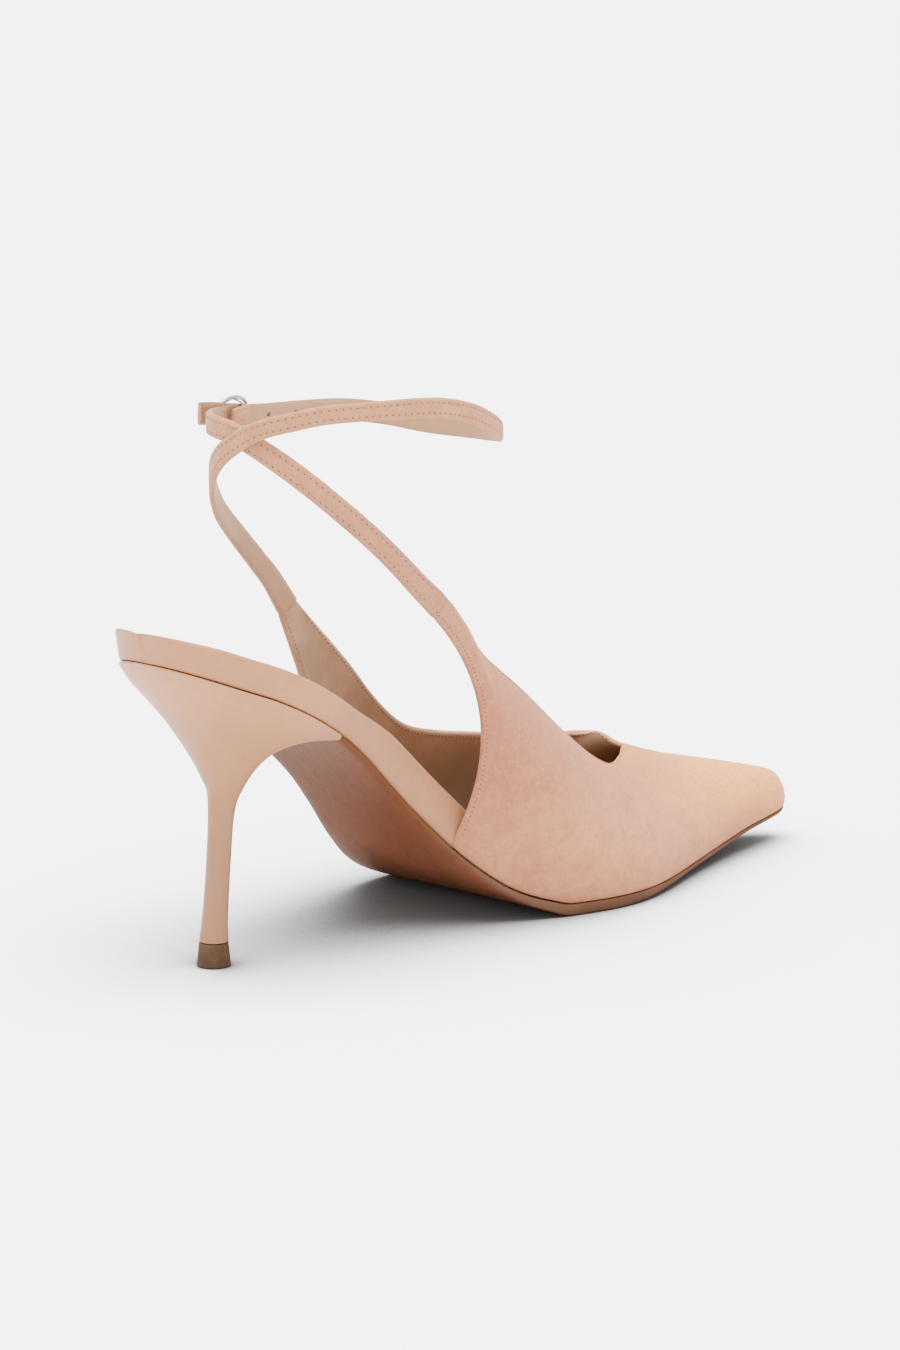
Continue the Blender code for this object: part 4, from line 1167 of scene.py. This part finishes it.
def make_heel(scene):
    """Leather-covered heel and its top piece."""
    kit = materials(scene)
    rings = np.array(heel_rings())
    keys = np.arange(len(rings), dtype=float)
    dense = [rings[0]]
    for place in np.linspace(1, len(rings) - 1, (len(rings) - 2) * RING_STEPS + 1):
        dense.append([glide_point(keys[1:], rings[1:, point], place)
                      for point in range(RING_POINTS)])
    vertices, faces = loft(dense)
    faces += ladder(0, RING_POINTS) + flat_cap((len(dense) - 1) * RING_POINTS, RING_POINTS)
    heel = make_mesh("heel_cover", vertices, faces, [kit["heel"]])
    heel.data.set_sharp_from_angle(angle=math.radians(60))
    place_piece(heel, ["heel"])

    bpy.ops.mesh.primitive_cone_add(
        vertices=64, radius1=TOP_PIECE_WIDTH / 2, radius2=STEM["width"][-1] * STEM_WIDTH / 2,
        depth=TOP_PIECE_HEIGHT, location=(0, 0, TOP_PIECE_HEIGHT / 2))
    lift = bpy.context.active_object
    lift.name = "top_piece_lift"
    bpy.ops.object.transform_apply(location=True, rotation=False, scale=False)
    soft = lift.modifiers.new("soft", "BEVEL")
    soft.width = LIFT_BEVEL
    soft.segments = 3
    soft.limit_method = "ANGLE"
    apply_all(lift)
    bpy.ops.object.shade_smooth_by_angle(angle=math.radians(35))
    lift.data.materials.append(kit["rubber"])
    place_piece(lift, ["top_piece"])


# Straps

def strap_section(middle, across, out, half, thick):
    """Section of a strap: crowned suede with sunk stitch rows, soft edges and a flat lining."""
    soft = min(STRAP_EDGE, thick * 0.42)
    ring = []
    for wide in np.linspace(-1, 1, STRAP_POINTS):
        from_edge = half * (1 - abs(wide))
        groove = math.exp(-((from_edge - GROOVE_INSET) / GROOVE_WIDTH) ** 2)
        deep = thick / 2 - soft * max(1 - from_edge / soft, 0) ** 2
        deep += CROWN_RISE * (1 - wide * wide) - GROOVE_DEPTH * groove
        ring.append(middle + across * half * wide + out * (deep - CROWN_RISE))
    for wide in np.linspace(1, -1, SLIP_POINTS):
        deep = -thick / 2 + (soft * 0.5 if abs(wide) == 1 else 0.0)
        ring.append(middle + across * half * wide * 0.995 + out * deep)
    return ring


def strap_piece(name, places, kit):
    """Strap from its places: suede outside, lining inside, and edges between and at the ends."""
    rings = [strap_section(middle, across, out, half, thick)
             for middle, _, across, out, half, thick in places]
    vertices, faces = loft(rings, flat_cap)
    around = [0] * (STRAP_POINTS - 1) + [2] + [1] * (SLIP_POINTS - 1) + [2]
    slots = around * (len(rings) - 1) + [2, 2]
    strap = make_mesh(
        name, vertices, faces, [kit["suede"], kit["strap_lining"], kit["edge"]], slots)
    strap.data.set_sharp_from_angle(angle=math.radians(60))
    return strap


def edge_lines(places):
    """Stitch lines near both edges of a strap's outer face."""
    lines = []
    for side in (-1, 1):
        points = [middle + across * side * (half - GROOVE_INSET) + out * (thick / 2 - GROOVE_DEPTH)
                  for middle, _, across, out, half, thick in places]
        lines.append((np.array(points), np.array([out for _, _, _, out, _, _ in places])))
    return lines


def fold_places():
    """The buckle strap's end, turned inward round the buckle's bar and back along itself."""
    end = BUCKLE_STRAP["turn"][-1]
    thick = BUCKLE_STRAP["thick"][-1] * STRAP_THICKNESS
    half = BUCKLE_STRAP["width"][-1] * STRAP_WIDTH / 2
    start = strap_place(BUCKLE_STRAP, end, -1)
    out = ankle_normal(end)
    fore = np.array([out[1], -out[0], 0.0])
    across = np.cross(out, fore)
    radius = BUCKLE_WIRE / 2 + CLEARANCE + thick / 2
    places = []
    for angle in np.radians(np.linspace(12, 180, 15)):
        centre = start - out * radius * (1 - math.cos(angle)) + fore * radius * math.sin(angle)
        radial = out * math.cos(angle) + fore * math.sin(angle)
        places.append((centre, fore, across, radial, half, thick))
    for share in (0.3, 0.65, 1.0):
        centre = start - out * (2 * radius + CLEARANCE * share) - fore * FLAP_LENGTH * share
        places.append((centre, -fore, across, -out, half * (1 - FLAP_TAPER * share), thick))
    return places


def start_inside(places):
    """Places with the first one moved back, so that the strap starts inside the wing."""
    middle, along, across, out, half, thick = places[0]
    sunk = middle - along * STRAP_LAP - out * LAP_SINK
    return [(sunk, along, across, out, half - LAP_TRIM / 2, thick - LAP_TRIM)] + places


def make_straps(scene):
    """The two straps with their stitches and the row of holes."""
    kit = materials(scene)
    finish = scene.pump_finish
    buckle_keys = -BUCKLE_STRAP["turn"]
    keys = np.linspace(buckle_keys[0], buckle_keys[-1], BUCKLE_STRAP_RINGS)
    places = strap_rings_at(BUCKLE_STRAP, keys, -1)
    strap = strap_piece("strap_buckle_suede", start_inside(places) + fold_places(), kit)
    place_piece(strap, ["strap_buckle"])
    lines = edge_lines(places[3:-6])
    wrap_keys = WRAP_STRAP["turn"]
    keys = np.linspace(wrap_keys[0], wrap_keys[-1], WRAP_STRAP_RINGS)
    places = strap_rings_at(WRAP_STRAP, keys, 1)
    strap = strap_piece("strap_wrap_suede", start_inside(places), kit)
    for turn in TAIL_HOLES:
        out = ankle_normal(turn)
        bpy.ops.mesh.primitive_cylinder_add(
            vertices=24, radius=HOLE_WIDTH * PUNCH_SHARE / 2, depth=STRAP_THICKNESS * 3,
            location=strap_place(WRAP_STRAP, turn, 1),
            rotation=(math.pi / 2, 0, math.atan2(out[1], out[0]) + math.pi / 2))
        cutter = bpy.context.active_object
        # The cutter carries the needle hole's painted shade
        cutter.data.materials.append(kit["hole"])
        hole = strap.modifiers.new("hole", "BOOLEAN")
        hole.object = cutter
        hole.solver = "EXACT"
        apply_all(strap)
        bpy.data.objects.remove(cutter)
    place_piece(strap, ["strap_wrap"])
    lines += edge_lines(places[6:-3])
    middle, _, across, out, half, thick = places[-3]
    row = [middle + across * (half - GROOVE_INSET) * side + out * (thick / 2 - GROOVE_DEPTH)
           for side in np.linspace(-0.8, 0.8, 5)]
    lines.append((np.array(row), np.array([out] * 5)))
    rows = stitch_mesh("strap_stitches", lines, finish.strap_pitch, STRAP_STITCH,
                       finish.thread_radius * 1.1, finish.thread_rise, kit)
    place_piece(rows, [])


# Buckle

def wire(points, radii, sides, closed):
    """Vertices and faces of round wire along points."""
    points = np.array(points)
    count = len(points)
    if closed:
        along = np.roll(points, -1, axis=0) - np.roll(points, 1, axis=0)
    else:
        along = np.gradient(points, axis=0)
    out = ankle_normal(BUCKLE_TURN)
    vertices = []
    for point, forward, radius in zip(points, unit(along), radii):
        first = unit(out - forward * np.dot(out, forward))
        second = np.cross(forward, first)
        for angle in turns(sides):
            vertices.append(point + (first * math.cos(angle) + second * math.sin(angle)) * radius)
    faces = []
    for ring in range(count if closed else count - 1):
        for place in range(sides):
            after = (place + 1) % sides
            base = ring * sides
            above = (ring + 1) % count * sides
            faces.append((base + place, base + after, above + after, above + place))
    if not closed:
        faces += flat_cap(0, sides) + flat_cap((count - 1) * sides, sides)
    return vertices, faces


def make_buckle(scene):
    """Bowed oval ring with its bar, and the prong that goes through the strap."""
    kit = materials(scene)
    centre, back, up, out = buckle_frame()
    half_height = BUCKLE_HEIGHT / 2
    ring = []
    for angle in turns(96):
        run = math.cos(angle)
        reach = BUCKLE_OFF + BUCKLE_BOW * run * run + BUCKLE_TILT * run
        ring.append(centre + back * run * BUCKLE_LENGTH / 2
                    + up * math.sin(angle) * half_height + out * reach)
    vertices, faces = wire(ring, [BUCKLE_WIRE / 2] * len(ring), 18, True)
    buckle = make_mesh("buckle_ring", vertices, faces, [kit["metal"]])
    place_piece(buckle, ["buckle"])
    middle = bar_place()
    bend = BUCKLE_STRAP["width"][-1] * STRAP_WIDTH / 2 + CLEARANCE
    ends = [centre + out * BUCKLE_OFF + up * half_height * side for side in (-1, 1)]
    knots = np.array([ends[0], middle - up * bend, middle, middle + up * bend, ends[1]])
    vertices, faces = wire(knots, [BAR_WIRE / 2] * len(knots), 16, False)
    bar = make_mesh("buckle_bar", vertices, faces, [kit["metal"]])
    place_piece(bar, [])

    hole = strap_place(WRAP_STRAP, TAIL_HOLES[-1], 1)
    rest = centre - back * (BUCKLE_LENGTH / 2) + out * (
        BUCKLE_OFF + BUCKLE_BOW - BUCKLE_TILT + BUCKLE_WIRE / 2 + CLEARANCE + PRONG_WIRE / 2)
    tip = rest - back * PRONG_TIP
    outward = ankle_normal(TAIL_HOLES[-1])
    knots = np.array([hole - outward * PRONG_DIP, hole, hole + outward * PRONG_ARCH, rest, tip])
    keys = np.arange(len(knots), dtype=float)
    places = np.linspace(0, 4, 41)
    dense = [glide_point(keys, knots, at) for at in places]
    radii = [PRONG_WIRE / 2 * (1.0 - max(at - 3.6, 0.0) * 0.9) for at in places]
    vertices, faces = wire(dense, radii, 14, False)
    prong = make_mesh("buckle_prong", vertices, faces, [kit["metal"]])
    prong.data.set_sharp_from_angle(angle=math.radians(60))
    place_piece(prong, ["prong"])


# The studio

def make_floor(studio):
    """Pale floor with a painted shadow that darkens it softly where the shoe comes close to it."""
    bpy.ops.mesh.primitive_plane_add(size=FLOOR_SIZE, location=(0, 0, -FLOOR_DROP))
    floor = bpy.context.active_object
    floor.name = "studio_floor"
    graph = Graph("studio_floor")
    # Painted shadow: the floor's colour darkens with the shoe's occlusion
    open_sky = graph.add(
        "ShaderNodeAmbientOcclusion", {"samples": 8}, {"Distance": studio.shade_reach}, 1)
    tone = graph.fit(open_sky, studio.shade_low, 1.0, studio.shade_dark, 1.0)
    pale = (studio.floor_tone,) * 3
    shadow_grey = (studio.floor_tone * SHADOW_GREY_SHARE,) * 3
    floor.data.materials.append(graph.surface(
        Base_Color=graph.blend(tone, shadow_grey, pale), Roughness=0.9, Specular_IOR_Level=0.1))


def make_lights(studio):
    """Even light from all round and one wide, soft light from above."""
    world = bpy.data.worlds.new("studio")
    world.use_nodes = True
    background = world.node_tree.nodes["Background"]
    background.inputs["Color"].default_value = (1.0, 1.0, 1.0, 1.0)
    background.inputs["Strength"].default_value = studio.ambient
    bpy.context.scene.world = world
    data = bpy.data.lights.new("overhead", "SUN")
    data.energy = studio.key_strength
    data.angle = studio.key_width
    light = bpy.data.objects.new("overhead", data)
    lean = Vector((studio.key_x, studio.key_y, 1.0))
    light.rotation_euler = lean.to_track_quat("Z", "Y").to_euler()
    bpy.context.scene.collection.objects.link(light)


def make_camera(studio):
    """Camera at the photograph's angle."""
    target = Vector((studio.target_x, studio.target_y, studio.target_z))
    turn = studio.camera_turn
    rise = studio.camera_rise
    level = math.cos(rise)
    back = Vector((math.sin(turn) * level, -math.cos(turn) * level, math.sin(rise)))
    data = bpy.data.cameras.new("camera")
    data.lens = studio.lens
    data.sensor_width = SENSOR_WIDTH
    data.clip_start = 0.01
    data.clip_end = 60.0
    camera = bpy.data.objects.new("camera", data)
    camera.location = target + back * studio.camera_distance
    camera.rotation_mode = "QUATERNION"
    camera.rotation_quaternion = (-back).to_track_quat("-Z", "Y")
    bpy.context.scene.collection.objects.link(camera)
    bpy.context.scene.camera = camera


# Properties, operators and panel

TONE = {"size": 3, "subtype": "COLOR", "min": 0.0, "max": 1.0}


class PumpFinish(bpy.types.PropertyGroup):
    """Sizes of the pump's nap and stitches."""
    nap_depth: bpy.props.FloatProperty(
        name="Nap Depth", description="Depth of the suede's nap",
        default=0.00012, unit="LENGTH")
    stitch_inset: bpy.props.FloatProperty(
        name="Stitch Inset", description="Distance of the stitches from the upper's edge",
        default=0.0014, unit="LENGTH")
    edge_pitch: bpy.props.FloatProperty(
        name="Edge Pitch", description="Length of a stitch on the upper",
        default=0.00135, unit="LENGTH")
    strap_pitch: bpy.props.FloatProperty(
        name="Strap Pitch", description="Length of a stitch on the straps",
        default=0.0019, unit="LENGTH")
    thread_radius: bpy.props.FloatProperty(
        name="Thread Radius", description="Half the thread's thickness",
        default=0.00017, unit="LENGTH")
    thread_rise: bpy.props.FloatProperty(
        name="Thread Rise", description="How far a stitch stands proud",
        default=0.00012, unit="LENGTH")


class PumpColours(bpy.types.PropertyGroup):
    """Colours of the pump's materials."""
    suede_base: bpy.props.FloatVectorProperty(
        name="Suede Base", description="Main tone of the suede",
        default=(0.312, 0.128, 0.062), **TONE)
    suede_shade: bpy.props.FloatVectorProperty(
        name="Suede Shade", description="Darker mottling of the suede",
        default=(0.236, 0.085, 0.045), **TONE)
    # Lighter nap tone, which also paints bounce light on the suede low down
    suede_nap: bpy.props.FloatVectorProperty(
        name="Suede Nap", description="Brushed, lighter nap",
        default=(0.370, 0.162, 0.080), **TONE)
    # Painted highlight on the top of the toe
    suede_toe: bpy.props.FloatVectorProperty(
        name="Suede Toe", description="Suede at the toe",
        default=(0.584, 0.250, 0.068), **TONE)
    suede_strap: bpy.props.FloatVectorProperty(
        name="Suede Strap", description="Suede of the wings' tops and the straps",
        default=(0.238, 0.110, 0.059), **TONE)
    suede_loop: bpy.props.FloatVectorProperty(
        name="Suede Loop", description="Suede of the ankle loop",
        default=(0.285, 0.140, 0.064), **TONE)
    nude_base: bpy.props.FloatVectorProperty(
        name="Nude Base", description="Main tone of the insole's cover",
        default=(0.262, 0.116, 0.051), **TONE)
    nude_shade: bpy.props.FloatVectorProperty(
        name="Nude Shade", description="Darker clouds of the insole's cover",
        default=(0.228, 0.098, 0.044), **TONE)
    nude_light: bpy.props.FloatVectorProperty(
        name="Nude Light", description="Lighter streaks of the insole's cover",
        default=(0.292, 0.134, 0.062), **TONE)
    heel_base: bpy.props.FloatVectorProperty(
        name="Heel Base", description="Main tone of the heel's cover",
        default=(0.300, 0.130, 0.054), **TONE)
    heel_light: bpy.props.FloatVectorProperty(
        name="Heel Light", description="Lighter streaks of the heel's cover",
        default=(0.340, 0.158, 0.072), **TONE)
    # Painted shade on the heel's cover low on the stem
    heel_stem_shade: bpy.props.FloatVectorProperty(
        name="Heel Deep", description="Heel's cover low on the stem",
        default=(0.190, 0.088, 0.043), **TONE)
    lining_base: bpy.props.FloatVectorProperty(
        name="Lining Base", description="Main tone of the upper's lining",
        default=(0.255, 0.150, 0.086), **TONE)
    lining_shade: bpy.props.FloatVectorProperty(
        name="Lining Shade", description="Darker clouds of the lining",
        default=(0.205, 0.116, 0.064), **TONE)
    lining_light: bpy.props.FloatVectorProperty(
        name="Lining Light", description="Lighter streaks of the lining",
        default=(0.300, 0.186, 0.108), **TONE)
    # Painted shade on the lining deep in the shoe
    lining_deep_shade: bpy.props.FloatVectorProperty(
        name="Lining Deep", description="Lining deep in the shoe",
        default=(0.142, 0.096, 0.058), **TONE)
    slip_base: bpy.props.FloatVectorProperty(
        name="Slip Base", description="Main tone of the straps' lining",
        default=(0.250, 0.132, 0.068), **TONE)
    slip_shade: bpy.props.FloatVectorProperty(
        name="Slip Shade", description="Darker clouds of the straps' lining",
        default=(0.210, 0.105, 0.053), **TONE)
    slip_light: bpy.props.FloatVectorProperty(
        name="Slip Light", description="Lighter streaks of the straps' lining",
        default=(0.290, 0.160, 0.086), **TONE)
    edge_base: bpy.props.FloatVectorProperty(
        name="Edge Base", description="Cut and folded edges of the suede",
        default=(0.330, 0.150, 0.080), **TONE)
    sole_base: bpy.props.FloatVectorProperty(
        name="Sole Base", description="Main tone of the outsole",
        default=(0.142, 0.052, 0.028), **TONE)
    sole_shade: bpy.props.FloatVectorProperty(
        name="Sole Shade", description="Darker clouds of the outsole",
        default=(0.104, 0.038, 0.020), **TONE)
    sole_light: bpy.props.FloatVectorProperty(
        name="Sole Light", description="Scuffs of the outsole",
        default=(0.165, 0.064, 0.032), **TONE)
    # Painted shade on the outsole under the waist
    sole_waist_shade: bpy.props.FloatVectorProperty(
        name="Sole Waist", description="Outsole under the waist",
        default=(0.074, 0.026, 0.011), **TONE)
    rim_base: bpy.props.FloatVectorProperty(
        name="Rim Base", description="Main tone of the outsole's edge",
        default=(0.082, 0.042, 0.026), **TONE)
    rim_shade: bpy.props.FloatVectorProperty(
        name="Rim Shade", description="Darker clouds of the outsole's edge",
        default=(0.062, 0.030, 0.018), **TONE)
    metal_silver: bpy.props.FloatVectorProperty(
        name="Metal Silver", description="Plating of the buckle",
        default=(0.34, 0.33, 0.31), **TONE)
    metal_dark: bpy.props.FloatVectorProperty(
        name="Metal Dark", description="Dull specks of the plating",
        default=(0.18, 0.17, 0.16), **TONE)
    top_brown: bpy.props.FloatVectorProperty(
        name="Top Brown", description="Main tone of the top piece",
        default=(0.040, 0.018, 0.008), **TONE)
    top_light: bpy.props.FloatVectorProperty(
        name="Top Light", description="Rubbed parts of the top piece",
        default=(0.062, 0.030, 0.014), **TONE)
    thread_base: bpy.props.FloatVectorProperty(
        name="Thread Base", description="Main tone of the thread",
        default=(0.310, 0.128, 0.068), **TONE)
    thread_shade: bpy.props.FloatVectorProperty(
        name="Thread Shade", description="Twist of the thread",
        default=(0.255, 0.100, 0.056), **TONE)
    # Painted shade in a needle hole
    hole_dark: bpy.props.FloatVectorProperty(
        name="Hole Dark", description="Bottom of a needle hole",
        default=(0.110, 0.042, 0.026), **TONE)


class PumpStudio(bpy.types.PropertyGroup):
    """Camera, floor and lights."""
    camera_turn: bpy.props.FloatProperty(
        name="Camera Turn", description="Camera's turn round the shoe",
        default=math.radians(-46.0), subtype="ANGLE")
    camera_rise: bpy.props.FloatProperty(
        name="Camera Rise", description="Camera's angle above the floor",
        default=math.radians(11.4), subtype="ANGLE")
    camera_distance: bpy.props.FloatProperty(
        name="Camera Distance", description="Distance from the target",
        default=1.3, unit="LENGTH")
    lens: bpy.props.FloatProperty(
        name="Lens", description="Focal length in millimetres", default=126.83)
    target_x: bpy.props.FloatProperty(
        name="Target X", description="Point that the camera faces",
        default=0.0893, unit="LENGTH")
    target_y: bpy.props.FloatProperty(
        name="Target Y", description="Point that the camera faces",
        default=0.0, unit="LENGTH")
    target_z: bpy.props.FloatProperty(
        name="Target Z", description="Point that the camera faces",
        default=0.0647, unit="LENGTH")
    floor_tone: bpy.props.FloatProperty(
        name="Floor Tone", description="Brightness of the floor", default=0.93)
    shade_reach: bpy.props.FloatProperty(
        name="Shade Reach", description="How far the shoe's own shade reaches",
        default=0.09, unit="LENGTH")
    shade_low: bpy.props.FloatProperty(
        name="Shade Low", description="Share of open sky at which the floor is darkest",
        default=0.40)
    shade_dark: bpy.props.FloatProperty(
        name="Shade Dark", description="Share of the pale tone left in the darkest shade",
        default=0.0)
    ambient: bpy.props.FloatProperty(
        name="Ambient", description="Strength of the light from all round", default=2.7)
    key_strength: bpy.props.FloatProperty(
        name="Key Strength", description="Strength of the light overhead", default=12.6)
    key_width: bpy.props.FloatProperty(
        name="Key Width", description="Angle over which the light overhead spreads",
        default=math.radians(60.0), subtype="ANGLE")
    key_x: bpy.props.FloatProperty(
        name="Key Forward", description="Lean of the light overhead toward the toe",
        default=-0.10)
    key_y: bpy.props.FloatProperty(
        name="Key Outward", description="Lean of the light overhead toward the outer side",
        default=-0.05)


class PUMP_OT_upper(bpy.types.Operator):
    """Build the suede upper with its stitches"""
    bl_idname = "pump.upper"
    bl_label = "Build Upper"

    def execute(self, context):
        make_upper(context.scene)
        return {"FINISHED"}


class PUMP_OT_sole(bpy.types.Operator):
    """Build the outsole and the covered insole"""
    bl_idname = "pump.sole"
    bl_label = "Build Sole"

    def execute(self, context):
        make_sole(context.scene)
        return {"FINISHED"}


class PUMP_OT_heel(bpy.types.Operator):
    """Build the covered heel and its top piece"""
    bl_idname = "pump.heel"
    bl_label = "Build Heel"

    def execute(self, context):
        make_heel(context.scene)
        return {"FINISHED"}


class PUMP_OT_straps(bpy.types.Operator):
    """Build the straps with their stitches and holes"""
    bl_idname = "pump.straps"
    bl_label = "Build Straps"

    def execute(self, context):
        make_straps(context.scene)
        return {"FINISHED"}


class PUMP_OT_buckle(bpy.types.Operator):
    """Build the buckle and its prong"""
    bl_idname = "pump.buckle"
    bl_label = "Build Buckle"

    def execute(self, context):
        make_buckle(context.scene)
        return {"FINISHED"}


class PUMP_OT_stage(bpy.types.Operator):
    """Set up the floor, the lights and the camera"""
    bl_idname = "pump.stage"
    bl_label = "Set Up Studio"

    def execute(self, context):
        studio = context.scene.pump_studio
        make_floor(studio)
        make_lights(studio)
        make_camera(studio)
        return {"FINISHED"}


class PUMP_PT_panel(bpy.types.Panel):
    """Buttons and values of the pump"""
    bl_label = "Ankle Strap Pump"
    bl_idname = "PUMP_PT_panel"
    bl_space_type = "VIEW_3D"
    bl_region_type = "UI"
    bl_category = "Pump"

    def draw(self, context):
        for operator in OPERATORS:
            self.layout.operator(operator.bl_idname)
        scene = context.scene
        for group in (scene.pump_finish, scene.pump_colours, scene.pump_studio):
            for name in group.__annotations__:
                self.layout.prop(group, name)


OPERATORS = (
    PUMP_OT_upper, PUMP_OT_sole, PUMP_OT_heel, PUMP_OT_straps, PUMP_OT_buckle, PUMP_OT_stage)
CLASSES = (PumpFinish, PumpColours, PumpStudio, *OPERATORS, PUMP_PT_panel)


def register():
    """Register the classes and the scene's properties."""
    for item in CLASSES:
        bpy.utils.register_class(item)
    bpy.types.Scene.pump_finish = bpy.props.PointerProperty(type=PumpFinish)
    bpy.types.Scene.pump_colours = bpy.props.PointerProperty(type=PumpColours)
    bpy.types.Scene.pump_studio = bpy.props.PointerProperty(type=PumpStudio)


def unregister():
    """Take the properties and the classes out again."""
    del bpy.types.Scene.pump_finish
    del bpy.types.Scene.pump_colours
    del bpy.types.Scene.pump_studio
    for item in reversed(CLASSES):
        bpy.utils.unregister_class(item)


def main():
    """Build every piece."""
    register()
    bpy.ops.pump.upper()
    bpy.ops.pump.sole()
    bpy.ops.pump.heel()
    bpy.ops.pump.straps()
    bpy.ops.pump.buckle()
    bpy.ops.pump.stage()


if __name__ == "__main__":
    main()
